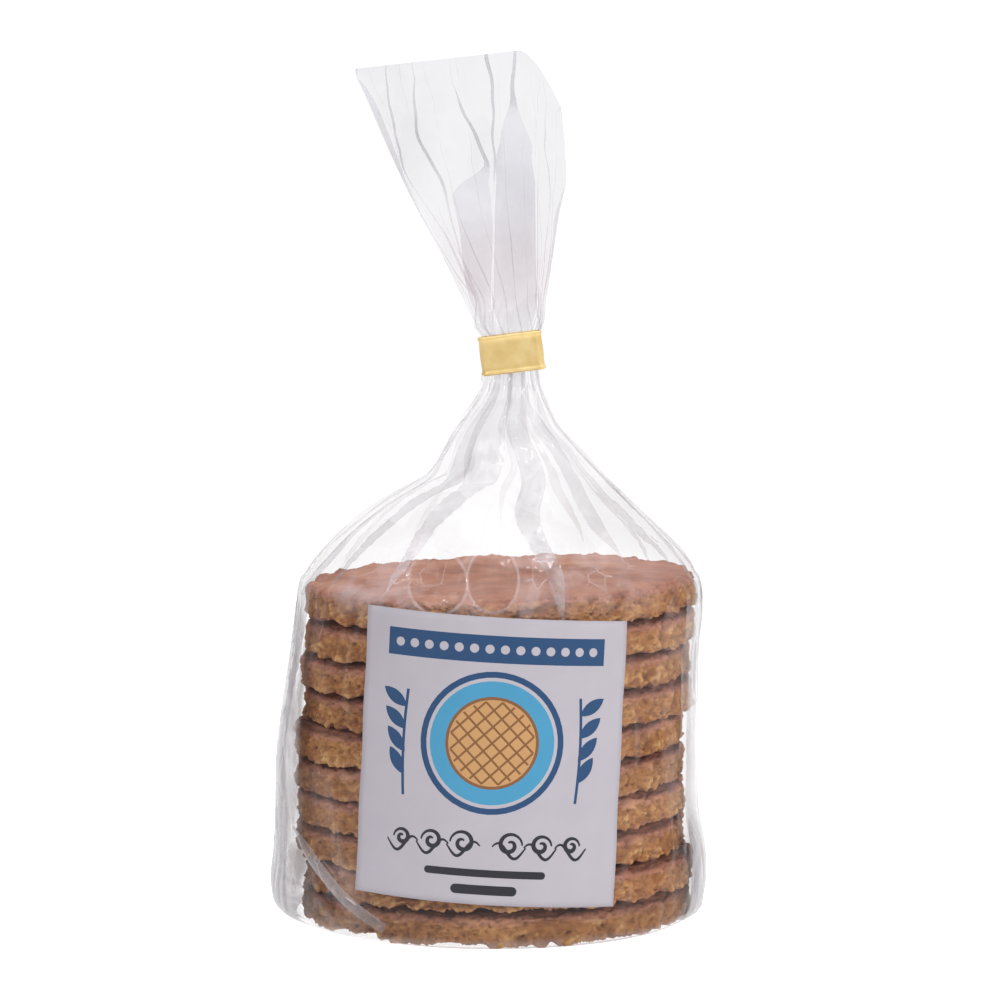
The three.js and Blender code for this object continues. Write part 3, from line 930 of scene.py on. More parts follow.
FLARE_RISE = 20.0  # it grows flat over this height above the gathers
TIE_HOLD = 6.0  # the film is gathered tight over this height, each way from the tie's middle
GATHER_DEPTH = 0.35  # of the ripples in it
GATHER_REACH = 16.0  # how far above and below they fade

# How the film buckles: how much of its crumpling it has at each height, and how strongly it
# answers where a thread is pressed together or bent, at each round.
CALM = ((0, 60, 80, 100, 125, 178), (0.5, 0.5, 1, 1, 0.3, 0.2))
PUCKER_SIZE, PUSH_SIZE = 4, 3  # of its soft dents, in steps of the sheet
PUSH_DEPTH, JITTER = 0.1, 0.02
PRESS_AROUND, PRESS_UP, PRESS_ACROSS = 0.6, 0.8, 0.2
BEND_AROUND, BEND_UP = 0.15, 0.2
DAMPING = 0.9
SETTLE_STEPS = 60
SETTLE_ROUNDS = 3
STACK_RADIUS = WAFFLE_RADIUS + 0.4
STACK_TOP = WAFFLE_COUNT * WAFFLE_PITCH + 0.3
STACK_AXIS = (
    (np.arange(WAFFLE_COUNT) + 0.5) * WAFFLE_PITCH,
    np.array(WAFFLE_SHIFTS[::-1]),
)
FLOOR_GAP = 0.05
LABEL_MARGIN = 1.0  # the film stays smooth this far round the label
FOLD_ANGLE = math.radians(28)  # sharper folds than this are shaded as edges

# The narrow flap at the lower left: plan angle and height of each end.
FLAP_START, FLAP_END = (-151, 21), (-117, 3.5)
FLAP_WIDTH = 3.2
FLAP_CLOUD = 1.13
RIBBON_STEPS = 40
RIBBON_COLUMNS = 7
RIBBON_SAG = 1.0  # its middle hangs lower than a straight line by this much
RIBBON_STAND = 0.25  # its edges stand off the film by this much
RIBBON_ARCH = 0.35  # and its middle by this much more

# Long creases in the film: plan angle and height of each end, depth, and reach to each side.
CREASES = (
    (-164, 90, -174, 70, 1.6, 3.5),
    (-150, 84, -160, 72, 1.2, 3.0),
    (-176, 64, -170, 20, 0.6, 4.5),
    (178, 58, -179, 12, 0.7, 5.0),
    (-150, 17, -123, 2.5, 0.8, 3.0),
    (-59, 90, -73, 75, 0.7, 1.5),
    (-24, 83, -16, 76, 1.2, 2.5),
    (-34, 80, -14, 78, 1.0, 2.0),
    (-44, 82, -26, 79, 0.9, 1.6),
    (-69, 77, -58, 72.5, 0.5, 1.2),
    (-60, 74, -52, 77, 0.5, 1.2),
    (-132, 76, -122, 71, 0.5, 1.2),
    (-131, 174, -128, 150, 0.5, 1.5),
    (-117, 170, -108, 150, 0.5, 1.5),
    (-97, 169, -87, 153, 0.6, 1.5),
)


def smoothstep(x):
    """0 below 0, 1 above 1, and a smooth rise between."""
    t = np.clip(x, 0, 1)
    return t * t * (3 - 2 * t)


def section(column, z):
    """A column of FILM_SECTIONS at each height, on a smooth curve through its entries."""
    heights = FILM_SECTIONS[:, SECTION_Z]
    values = FILM_SECTIONS[:, column]
    last = len(heights) - 1
    at = np.arange(last + 1)
    before, after = np.maximum(at - 1, 0), np.minimum(at + 1, last)
    slope = (values[after] - values[before]) / (heights[after] - heights[before])
    i = np.clip(np.searchsorted(heights, z, side="right") - 1, 0, last - 1)
    span = heights[i + 1] - heights[i]
    t = np.clip((z - heights[i]) / span, 0, 1)
    return (
        (2 * t**3 - 3 * t**2 + 1) * values[i]
        + (t**3 - 2 * t**2 + t) * span * slope[i]
        + (3 * t**2 - 2 * t**3) * values[i + 1]
        + (t**3 - t**2) * span * slope[i + 1]
    )


def mouth_height(x, y):
    """The height of the film's cut edge, which rises a little to the back."""
    left = MOUTH_Z - MOUTH_LEFT_DROP * (MOUTH_PEAK_X - x)
    share = np.maximum(x - MOUTH_PEAK_X, 0) / MOUTH_RIGHT_REACH
    right = MOUTH_Z - MOUTH_RIGHT_DROP * share**MOUTH_RIGHT_POWER
    front = section(SECTION_FRONT, MOUTH_Z)
    return np.where(x < MOUTH_PEAK_X, left, right) + MOUTH_SLOPE * (y + front)


class Outline:
    """The bag's smooth outline at one height, by the way round it from its left, in mm."""

    STEPS = 720

    def __init__(self, z):
        self.angle = np.linspace(-math.pi, math.pi, self.STEPS + 1)
        left, right = section(SECTION_LEFT, z), section(SECTION_RIGHT, z)
        along = np.where(
            np.sin(self.angle) < 0, section(SECTION_FRONT, z), section(SECTION_BACK, z)
        )
        x = (right - left) / 2 + (right + left) / 2 * np.cos(self.angle)
        pinch = FLARE_PINCH * smoothstep((z - TIE_Z - TIE_HOLD) / FLARE_RISE)
        y = along * np.sin(self.angle) * np.abs(np.sin(self.angle)) ** pinch
        self.points = np.stack([x, y], axis=1)
        step = np.linalg.norm(np.diff(self.points, axis=0), axis=1)
        self.way = np.concatenate([[0], np.cumsum(step)])
        along = np.gradient(self.points, axis=0)
        along[0] = along[-1] = along[0] + along[-1]
        along /= np.linalg.norm(along, axis=1, keepdims=True)
        self.outward = np.stack([along[:, 1], -along[:, 0]], axis=1)

    def way_to(self, degrees):
        """The way round from the left to a plan angle."""
        return np.interp(np.radians(degrees), self.angle, self.way)

    def at(self, way, depth):
        """Points on the outline, a depth inside it."""
        way = way % self.way[-1]
        x, y = (np.interp(way, self.way, c) for c in self.points.T)
        out_x, out_y = (np.interp(way, self.way, c) for c in self.outward.T)
        return np.stack([x - out_x * depth, y - out_y * depth], axis=1)


def all_pleats():
    """The pleats on the front, and those of the back by a rule, in order round the bag."""
    random = np.random.default_rng(BACK_SEED)
    back = []
    for k in range(BACK_PLEATS):
        angle = BACK_SPREAD[0] + BACK_STEP * k + random.uniform(-5, 5)
        end, width = random.uniform(66, 84), random.uniform(7, 10)
        neck = angle + random.uniform(-7, 7)
        mouth_x = np.interp(angle, BACK_SPREAD, BACK_MOUTH_X) + random.uniform(-1.5, 1.5)
        neck_x = np.interp(angle, BACK_SPREAD, BACK_NECK_X)
        back.append((
            random.choice((-1, 1)),
            (0, ((127, 0), (178, 0))),
            ((end, angle, 0), (end + 8, angle, width * 0.22), (103, neck, width * 0.2),
             (110, neck, 0.4)),
            ((127, neck_x, 0.15), (145, (neck_x + mouth_x) / 2, 0.05), (178, mouth_x, 0.05)),
        ))
    return [*FRONT_PLEATS, *back]


class Pleat:
    """A flat fold in the film."""

    def __init__(self, side, tones, shoulder, flare):
        self.side = side
        self.tones = tones[0], np.array(tones[1]).T
        self.shoulder = np.array(shoulder).T
        self.flare = np.array(flare).T
        self.facing = math.copysign(1, shoulder[-1][1])
        self.phase = shoulder[-1][1] * 0.7

    def course(self, line, column, z):
        """One of the pleat's values at a height, with rounded corners in its course."""
        heights = z + np.array(COURSE_ROUNDING)
        return float(np.mean(np.interp(heights, line[0], line[column])))

    def angle_at(self, z):
        """The plan angle of the pleat's middle at a height."""
        below = self.course(self.shoulder, 1, z)
        if z < TIE_Z:
            return below
        left, right = section(SECTION_LEFT, z), section(SECTION_RIGHT, z)
        x = self.course(self.flare, 1, z)
        wiggle = math.sin(z * 0.31 + self.phase) * 0.3 + math.sin(z * 0.83 + 2 * self.phase) * 0.12
        x += wiggle * smoothstep((z - TIE_Z - WIGGLE_START) / 8)
        share = (x - (right - left) / 2) / ((right + left) / 2)
        above = self.facing * math.degrees(math.acos(np.clip(share, -0.98, 0.98)))
        return below + (above - below) * smoothstep((z - TIE_Z) / PLEAT_TURN)

    def width_at(self, z):
        """The pleat's width at a height."""
        below = self.course(self.shoulder, 2, z)
        above = self.course(self.flare, 2, z)
        return below + (above - below) * smoothstep((z - TIE_Z) / PLEAT_TURN)

    def tone_at(self, z):
        """How cloudy the pleat is at a height; below 0, clearer than the film round it."""
        below, above = self.tones[0], float(np.interp(z, *self.tones[1]))
        tone = below + (above - below) * smoothstep((z - TIE_Z) / PLEAT_TURN)
        return tone * smoothstep(self.width_at(z) / CLEAR_FOLD)

    def depths_at(self, z):
        """Depths of the pleat's right and left fold."""
        gap = np.interp(z, *LAYER_GAP) * smoothstep(self.width_at(z) / LAYER_OPENS)
        return (0, gap) if self.side > 0 else (gap, 0)


def fold_strength(pleats, z):
    """How cloudy each step round the film is at one height: only those that pleats turn back."""
    steps = []
    for pleat in pleats:
        steps += [pleat.tone_at(z)] * PLEAT_COLUMNS + [0] * pleat.columns
    return steps


def crease_depth(outline, way, z):
    """How far the long creases sink the film at one height."""
    total = np.zeros_like(way)
    for start_angle, start_z, end_angle, end_z, depth, reach in CREASES:
        share = (z - start_z) / (end_z - start_z)
        if 0 < share < 1:
            if end_angle * start_angle < 0 and abs(end_angle - start_angle) > 180:
                end_angle += 360 if end_angle < 0 else -360
            angle = start_angle + (end_angle - start_angle) * share
            angle = (angle + 180) % 360 - 180
            off = way - outline.way_to(angle)
            around = outline.way[-1]
            off = abs((off + around / 2) % around - around / 2)
            total += depth * math.sin(share * math.pi) ** 0.6 * np.clip(1 - off / reach, 0, 1)
    return total


def film_row(pleats, z):
    """The folded film at one height: points from the left over the front, right and back."""
    outline = Outline(z)
    ways, depths = [], []
    middle = [outline.way_to(p.angle_at(z)) for p in pleats]
    for i, pleat in enumerate(pleats):
        after = pleats[(i + 1) % len(pleats)]
        width, next_width = pleat.width_at(z), after.width_at(z)
        right_depth, left_depth = pleat.depths_at(z)
        start = middle[i] - width / 2
        end = middle[(i + 1) % len(pleats)] + next_width / 2
        if i == len(pleats) - 1:
            end += outline.way[-1]
        share = np.arange(PLEAT_COLUMNS) / PLEAT_COLUMNS
        ways.append(middle[i] + width / 2 - width * share)
        depths.append(right_depth + (left_depth - right_depth) * share)
        share = np.arange(pleat.columns) / pleat.columns
        ways.append(start + (end - start) * share)
        depths.append(left_depth * (1 - share) ** 3 + after.depths_at(z)[0] * share**3)
    way, depth = np.concatenate(ways), np.concatenate(depths)
    depth = depth + crease_depth(outline, way, z)
    x, y = outline.at(way, depth).T
    flared = max(0, (z - TIE_Z) / (MOUTH_Z - TIE_Z))
    rise = (mouth_height(x, y) - MOUTH_Z) * flared**2
    return np.stack([x, y, z + rise], axis=1)


def even_rows(row_step):
    """The heights of the film's rows, evenly spaced along its side."""
    heights = np.linspace(0, MOUTH_Z, 4000)
    radius = (section(SECTION_LEFT, heights) + section(SECTION_RIGHT, heights)) / 2
    climb = np.concatenate([[0], np.cumsum(np.hypot(np.diff(heights), np.diff(radius)))])
    rows = int(round(climb[-1] / row_step)) + 1
    return np.interp(np.linspace(0, climb[-1], rows), climb, heights)


def counted_pleats():
    """All the pleats, each with its count of steps from its left fold to the next pleat."""
    pleats = [Pleat(*values) for values in all_pleats()]
    wall = Outline(COLUMN_COUNT_Z)
    ways = [wall.way_to(pleat.angle_at(COLUMN_COUNT_Z)) for pleat in pleats]
    for pleat, way, next_way in zip(pleats, ways, [*ways[1:], ways[0]]):
        pleat.columns = round((next_way - way) % wall.way[-1] / COLUMN_STEP)
    return pleats


def smooth_random(random, rows, columns, size, stretch=1.0):
    """Random heights over the sheet with a spread of 1, smoothed over size steps."""
    raw = random.normal(size=(rows * 2, columns))
    along = np.fft.fftfreq(rows * 2)[:, None] * stretch
    around = np.fft.rfftfreq(columns)[None]
    keep = np.exp(-2 * math.pi**2 * size**2 * (along**2 + around**2))
    smooth = np.fft.irfft2(np.fft.rfft2(raw) * keep, s=raw.shape)[:rows]
    return smooth / smooth.std()


class FilmSheet:
    """The folded film, in rows up the bag and columns round it, in millimetres.

    It starts as its outline with its pleats. Each thread is given a little more or less
    length than it has there, and the sheet then buckles until its threads fit again, inside
    the outline and outside the stack.
    """

    def __init__(self, row_step, slack, pucker, seed):
        random = np.random.default_rng(seed)
        self.row_heights = even_rows(row_step)
        pleats = counted_pleats()
        start = np.stack([film_row(pleats, z) for z in self.row_heights])
        self.folds = np.array([fold_strength(pleats, z) for z in self.row_heights[:-1]])
        self.points = start + self.gathers(random, start)
        self.free = self.loose_points(start)
        self.rests = self.rest_lengths()
        self.crumple(random, slack, pucker)
        heights = np.linspace(0, MOUTH_Z, 800)
        self.outline = [
            (heights, section(column, heights))
            for column in (SECTION_LEFT, SECTION_RIGHT, SECTION_FRONT, SECTION_BACK)
        ]

    def rest_lengths(self):
        """The lengths of the sheet's threads, by their direction and the steps they span."""
        points, rests = self.points, {}
        for reach in (1, 2):
            rests["around", reach] = np.roll(points, -reach, axis=1) - points
            rests["up", reach] = points[reach:] - points[:-reach]
        for side in (1, -1):
            rests["across", side] = np.roll(points, -side, axis=1)[1:] - points[:-1]
        return {key: np.linalg.norm(gap, axis=2, keepdims=True) for key, gap in rests.items()}

    def crumple(self, random, slack, pucker):
        """Makes the threads a little too long or short, and gives the sheet a first push."""
        rows, columns = self.points.shape[:2]
        puckers = [
            smooth_random(random, rows, columns, PUCKER_SIZE)[..., None] * pucker
            for _ in range(2)
        ]
        calm = np.interp(self.row_heights, *CALM)[:, None, None]
        self.rests["around", 1] *= 1 + slack + puckers[0] * calm
        self.rests["up", 1] *= 1 + puckers[1][:-1] * calm[:-1]
        push = smooth_random(random, rows, columns, PUSH_SIZE)[..., None]
        push = push * random.normal(size=3) * PUSH_DEPTH
        jitter = random.normal(0, JITTER, self.points.shape)
        self.points += (push + jitter) * self.free * calm

    def gathers(self, random, start):
        """Fine ripples in the film that fan out of the neck."""
        rows, columns = start.shape[:2]
        ripple = smooth_random(random, rows, columns, 1.0, 14)
        off = np.abs(self.row_heights - TIE_Z) - TIE_HOLD
        size = GATHER_DEPTH * np.exp(-np.maximum(off, 0) / GATHER_REACH)
        inward = -start[..., :2] + np.array((NECK_X, 0))
        inward /= np.linalg.norm(inward, axis=2, keepdims=True) + 0.5
        moved = np.zeros_like(start)
        moved[..., :2] = inward * (ripple * size[:, None])[..., None]
        return moved

    def loose_points(self, start):
        """1 where the film is free to move: not at its foot, in the tie or under the label."""
        around = (np.arctan2(start[..., 1], start[..., 0]) + math.pi / 2) * section(
            SECTION_FRONT, LABEL_Z
        )
        across, rise = around - LABEL_X, start[..., 2] - LABEL_Z
        turn, lean = math.cos(LABEL_TURN), math.sin(LABEL_TURN)
        u, v = across * turn + rise * lean, rise * turn - across * lean
        free = np.ones(start.shape[:2])
        free[0] = 0
        beside = abs(u) < LABEL_WIDTH / 2 + LABEL_MARGIN
        free[beside & (abs(v) < LABEL_HEIGHT / 2 + LABEL_MARGIN)] = 0
        free[abs(self.row_heights - TIE_Z) < TIE_HOLD] = 0
        return free[..., None]

    def hold(self, first, second, rest, push, stretch):
        """Brings pairs of points towards their rest length."""
        gap = self.points[second] - self.points[first]
        length = np.sqrt(np.einsum("...i,...i->...", gap, gap))[..., None] + 1e-9
        excess = length - rest
        answer = np.where(excess > 0, stretch, push)
        first_free, second_free = self.free[first], self.free[second]
        both = np.maximum(first_free + second_free, 1)
        move = gap * (excess / length * answer / both)
        self.points[first] += move * first_free
        self.points[second] -= move * second_free

    def hold_around(self, reach, push, stretch=1.0):
        """Holds each point to the one that is reach steps on round the bag."""
        index = np.arange(self.points.shape[1])
        rest = self.rests["around", reach]
        for half in range(2):
            first = index[(index // reach) % 2 == half]
            second = (first + reach) % len(index)
            self.hold(np.s_[:, first], np.s_[:, second], rest[:, first], push, stretch)

    def hold_up(self, reach, push, stretch=1.0):
        """Holds each point to the one that is reach steps above it."""
        index = np.arange(len(self.points) - reach)
        rest = self.rests["up", reach]
        for half in range(2):
            first = index[(index // reach) % 2 == half]
            self.hold(first, first + reach, rest[first], push, stretch)

    def hold_across(self, push):
        """Holds each point to those one step above it and one step to either side."""
        index = np.arange(self.points.shape[1])
        for side in (1, -1):
            beside = (index + side) % len(index)
            rest = self.rests["across", side]
            for half in range(2):
                first = np.arange(len(self.points) - 1)[half::2][:, None]
                pairs = (first, index), (first + 1, beside)
                self.hold(*pairs, rest[first, index], push, stretch=1.0)

    def keep_in_place(self):
        """Keeps the film inside the bag's outline, off the stack and above the floor."""
        x, y, z = (self.points[..., i] for i in range(3))
        loose = self.free[..., 0] > 0
        height = np.clip(z, 0, MOUTH_Z)
        left, right, front, back = (np.interp(height, *line) for line in self.outline)
        middle, across = (right - left) / 2, (right + left) / 2
        along = np.where(y < 0, front, back)
        share = np.sqrt(((x - middle) / across) ** 2 + (y / along) ** 2) + 1e-9
        over = loose & (share > 1)
        x = np.where(over, middle + (x - middle) / share, x)
        y = np.where(over, y / share, y)
        stack_x = np.interp(z, *STACK_AXIS)
        radius = np.hypot(x - stack_x, y) + 1e-9
        inside = loose & (z < STACK_TOP) & (radius < STACK_RADIUS)
        beside = inside & (STACK_RADIUS - radius < STACK_TOP - z)
        grow = np.where(beside, STACK_RADIUS / radius, 1)
        self.points[..., 0] = stack_x + (x - stack_x) * grow
        self.points[..., 1] = y * grow
        z = np.where(inside & ~beside, STACK_TOP, z)
        z[1:] = np.maximum(z[1:], FLOOR_GAP)
        z[-1] = mouth_height(x[-1], y[-1])
        self.points[..., 2] = z

    def softened_folds(self):
        """The folds' cloudiness at each point: the mean of the faces round it."""
        faces = np.concatenate([self.folds[:1], self.folds, self.folds[-1:]])
        points = (faces[1:] + faces[:-1]) / 2
        return ((points + np.roll(points, 1, axis=1)) / 2).ravel()

    def reach_outline(self):
        """Stretches the rows beside the stack sideways until they reach the outline."""
        for i in np.flatnonzero(self.row_heights < STACK_TOP):
            row = self.points[i]
            x, height = row[:, 0], np.clip(row[:, 2].mean(), 0, MOUTH_Z)
            left, right = (np.interp(height, *line) for line in self.outline[:2])
            share = (x - x.min()) / (x.max() - x.min())
            row[:, 0] = share * (left + right) - left

    def settle(self):
        """Lets the sheet buckle until its threads nearly fit."""
        speed = np.zeros_like(self.points)
        for _ in range(SETTLE_STEPS):
            before = self.points.copy()
            self.points += speed * DAMPING * self.free
            for _ in range(SETTLE_ROUNDS):
                self.hold_around(1, PRESS_AROUND)
                self.hold_up(1, PRESS_UP)
                self.hold_across(PRESS_ACROSS)
                self.hold_around(2, BEND_AROUND, stretch=BEND_AROUND)
                self.hold_up(2, BEND_UP, stretch=BEND_UP)
                self.keep_in_place()
            speed = self.points - before


def mark_folds(made, values):
    """Stores how cloudy a fold each point lies in, for the film's material."""
    made.data.attributes.new("fold", "FLOAT", "POINT").data.foreach_set("value", values)


def film_ribbon(name, start, end, width, finish):
    """A narrow flap of film on the bag's wall, from one plan angle and height to another."""
    share = np.linspace(0, 1, RIBBON_STEPS)
    angles = start[0] + (end[0] - start[0]) * share
    heights = start[1] + (end[1] - start[1]) * share - RIBBON_SAG * np.sin(share * math.pi)
    middle, outward = np.zeros((2, RIBBON_STEPS, 3))
    for i, (angle, z) in enumerate(zip(angles, heights)):
        outline = Outline(z)
        way = np.array([outline.way_to(angle)])
        middle[i] = (*outline.at(way, -RIBBON_STAND)[0], z)
        outward[i, :2] = outline.at(way, -1)[0] - outline.at(way, 0)[0]
    sideways = np.cross(np.gradient(middle, axis=0), outward)
    sideways /= np.linalg.norm(sideways, axis=1, keepdims=True)
    across = np.linspace(-0.5, 0.5, RIBBON_COLUMNS)[None, :, None]
    taper = np.sin(np.clip(share * 4, 0, 1) * math.pi / 2) * (1 - 0.3 * share) * width
    points = (
        middle[:, None]
        + sideways[:, None] * across * taper[:, None, None]
        + outward[:, None] * RIBBON_ARCH * (1 - (2 * across) ** 2)
    )
    faces = [tuple(f) for f in grid_faces(RIBBON_STEPS, RIBBON_COLUMNS, False)]
    made = mesh_object(name, placed(points.reshape(-1, 3)), faces, [finish])
    mark_folds(made, np.full(len(made.data.vertices), FLAP_CLOUD))
    return made


class PackFilmSettings(bpy.types.PropertyGroup):
    row_spacing: bpy.props.FloatProperty(
        name="Row spacing", description="Height of the steps that the film is built in",
        default=1.1 * MM, subtype="DISTANCE",
    )
    slack: bpy.props.FloatProperty(
        name="Slack", description="Share by which the film is longer than its outline",
        default=0.008, subtype="FACTOR",
    )
    pucker: bpy.props.FloatProperty(
        name="Pucker", description="Share by which the film's slack varies", default=0.02,
        subtype="FACTOR",
    )
    seed: bpy.props.IntProperty(name="Seed", description="Picks the film's creases", default=3)


class PACK_OT_film(bpy.types.Operator):
    """Builds the thin film of the bag"""

    bl_idname = "pack.film"
    bl_label = "Film"

    def execute(self, context):
        settings = context.scene.pack_film
        row_step = settings.row_spacing / MM
        sheet = FilmSheet(row_step, settings.slack, settings.pucker, settings.seed)
        sheet.settle()
        sheet.reach_outline()
        rows, columns = sheet.points.shape[:2]
        faces = [tuple(f) for f in grid_faces(rows, columns, True)]
        faces.append(tuple(range(columns))[::-1])
        points = placed(sheet.points.reshape(-1, 3))
        finish = film_material()
        made = mesh_object("film", points, faces, [finish])
        made.data.set_sharp_from_angle(angle=FOLD_ANGLE)
        mark_folds(made, sheet.softened_folds())
        flap = film_ribbon("film_flap", FLAP_START, FLAP_END, FLAP_WIDTH, finish)
        for piece in (made, flap):
            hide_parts("bag")
            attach(piece, "root")
        return {"FINISHED"}


# ---- the label ----

LABEL_CELLS = 40  # across and up, before the print is cut into them
LABEL_LIFT = 0.3  # off the bag's smooth front
LABEL_CURL = 0.12  # how far its two sides curl off it
INK_BLACK = (0.012, 0.012, 0.018)
INK_TAN = (0.55, 0.30, 0.12)
INK_BROWN = (0.22, 0.09, 0.03)
PAPER, BLUE, SKY, BLACK, TAN, BROWN = range(6)


def disc(x, y, radius, steps=48):
    """A circle."""
    angle = np.arange(steps) / steps * TAU
    return np.stack([x + radius * np.cos(angle), y + radius * np.sin(angle)], axis=1)


def box(x, y, width, height):
    """A rectangle round its middle."""
    half = np.array([(-1, -1), (1, -1), (1, 1), (-1, 1)]) / 2
    return half * (width, height) + (x, y)


def bar(x, y, width, height):
    """A bar with round ends."""
    turn = np.linspace(-math.pi / 2, math.pi / 2, 10)
    end = np.stack([np.cos(turn), np.sin(turn)], axis=1) * height / 2
    reach = (width - height) / 2
    return np.concatenate([end + (x + reach, y), -end + (x - reach, y)])


def leaf(x, y, length, width, turn):
    """A leaf from its stalk, turned from lying to the right."""
    share = np.linspace(0, 1, 9)
    bulge = np.sin(share * math.pi) ** 0.8 * width / 2
    side = np.stack([share * length, bulge], axis=1)
    outline = np.concatenate([side, (side * (1, -1))[::-1][1:-1]])
    c, s = math.cos(turn), math.sin(turn)
    return outline @ np.array([(c, s), (-s, c)]) + (x, y)


def stroke(centre, widths):
    """A line drawn with a pen of changing width."""
    along = np.gradient(centre, axis=0)
    across = np.stack([-along[:, 1], along[:, 0]], axis=1)
    across /= np.linalg.norm(across, axis=1, keepdims=True)
    offset = across * np.asarray(widths)[:, None] / 2
    return np.concatenate([centre + offset, (centre - offset)[::-1]])


def curl(x, y, size, turns, facing):
    """A pen stroke that winds into a curl."""
    share = np.linspace(0, 1, 40)
    angle = share * turns * TAU
    radius = size * (1 - 0.82 * share)
    centre = np.stack(
        [x + facing * radius * np.cos(angle), y + radius * np.sin(angle)], axis=1
    )
    return stroke(centre, 0.35 + 0.55 * np.sin(share * math.pi))


def printed_disc(x, y):
    """A ring round a disc with a waffle's grid."""
    rings = ((BLUE, 14.2), (PAPER, 13), (SKY, 12.3), (BROWN, 9.2), (TAN, 8.6))
    shapes = [(ink, disc(x, y, radius)) for ink, radius in rings]
    for step in np.arange(-3, 4) * 2.3:
        half = math.sqrt(8.3**2 - step**2)
        for sign in (1, -1):
            line = np.array([(-half, step), (half, step)])
            c = math.cos(sign * math.pi / 4)
            turned = line @ np.array([(c, sign * c), (-sign * c, c)]) + (x, y)
            shapes.append((BROWN, stroke(turned, (0.42, 0.42))))
    return shapes


def printed_sprig(side):
    """A stem with four leaves, on the left or the right."""
    shapes = []
    for k, rise in enumerate((-6, -1.5, 3, 7.5)):
        lean = math.radians(58 - 8 * k)
        turn = lean if side > 0 else math.pi - lean
        shapes.append((BLUE, leaf(side * 17.4, rise + 2, 6.2, 2.5, turn)))
    stem = np.stack([
        side * (17.2 + 0.6 * np.cos(np.linspace(-1.4, 1.4, 12))),
        np.linspace(-8, 13, 12),
    ], axis=1)
    return [*shapes, (BLUE, stroke(stem, np.full(12, 0.6)))]


def printed_curls(side):
    """Three curls with a wavy line through each, from the middle to one side."""
    shapes = []
    wave = np.linspace(0, 1, 24)
    for k in range(3):
        shapes.append((BLACK, curl(side * (4.6 + 6.2 * k), -16.4, 2.5 - 0.35 * k, 1.35, side)))
        link = np.stack([
            side * (1.2 + 6.2 * k + wave * 6.6), -17.6 + 1.5 * np.sin(wave * TAU + 0.5),
        ], axis=1)
        shapes.append((BLACK, stroke(link, 0.3 + 0.35 * np.sin(wave * math.pi))))
    return shapes


def label_print():
    """The shapes printed on the label, in the order that they are printed."""
    return [
        (BLUE, box(0, 22.2, 44, 5.4)),
        *((PAPER, disc(x, 22.2, 0.9, 16)) for x in np.linspace(-19.5, 19.5, 14)),
        *printed_disc(0, 3.6),
        *printed_sprig(1),
        *printed_sprig(-1),
        *printed_curls(1),
        *printed_curls(-1),
        (BLACK, bar(0, -22.3, 24, 1.5)),
        (BLACK, bar(0, -25.6, 13, 1.9)),
    ]


def finely(outline, step=1.2):
    """The outline with points no further than a step apart, so that it can bend."""
    parts = []
    for start, end in zip(outline, np.roll(outline, -1, axis=0)):
        count = max(1, math.ceil(np.linalg.norm(end - start) / step))
        parts.append(start + (end - start) * (np.arange(count) / count)[:, None])
    return np.concatenate(parts)


def inside(points, outline):
    """Which points lie inside a closed outline."""
    x, y = points[:, 0][:, None], points[:, 1][:, None]
    start, end = outline, np.roll(outline, -1, axis=0)
    straddles = (start[:, 1] > y) != (end[:, 1] > y)
    rise = end[:, 1] - start[:, 1]
    crossing = start[:, 0] + (y - start[:, 1]) / np.where(rise == 0, 1, rise) * (
        end[:, 0] - start[:, 0]
    )
    return (straddles & (x < crossing)).sum(axis=1) % 2 == 1


def label_surface(flat, lift):
    """Flat label points as points on the bag's front, lifted off it."""
    u, v = flat[:, 0], flat[:, 1]
    around = u * math.cos(LABEL_TURN) - v * math.sin(LABEL_TURN)
    z = LABEL_Z + u * math.sin(LABEL_TURN) + v * math.cos(LABEL_TURN)
    radius = section(SECTION_FRONT, z)
    x = LABEL_X + radius * np.sin(around / radius)
    middle = (section(SECTION_RIGHT, z) - section(SECTION_LEFT, z)) / 2
    across = (section(SECTION_RIGHT, z) + section(SECTION_LEFT, z)) / 2
    y = -radius * np.sqrt(1 - ((x - middle) / across) ** 2)
    outward = np.stack([x, y], axis=1) / np.hypot(x, y)[:, None]
    return np.stack([x + outward[:, 0] * lift, y + outward[:, 1] * lift, z], axis=1)


def printed_sheet():
    """The flat label, cut along what is printed on it: points, faces and each face's ink."""
    shapes = [(ink, finely(outline)) for ink, outline in label_print()]
    edge_x, edge_y = (
        np.arange(0, size + 0.01, size / LABEL_CELLS) - size / 2
        for size in (LABEL_WIDTH, LABEL_HEIGHT)
    )
    grid = np.stack(np.meshgrid(edge_x, edge_y), axis=2).reshape(-1, 2)
    points, edges = [Vector(p) for p in grid], []
    for _, outline in shapes:
        start, count = len(points), len(outline)
        points += [Vector(p) for p in outline]
        edges += [(start + i, start + (i + 1) % count) for i in range(count)]
    flat, _, faces, _, _, _ = delaunay_2d_cdt(points, edges, [], 0, 1e-5)
    flat = np.array([tuple(p) for p in flat])
    centres = np.array([flat[list(f)].mean(axis=0) for f in faces])
    ink = np.zeros(len(faces), dtype=int)
    for color, outline in shapes:
        ink[inside(centres, outline)] = color
    return flat, faces, ink


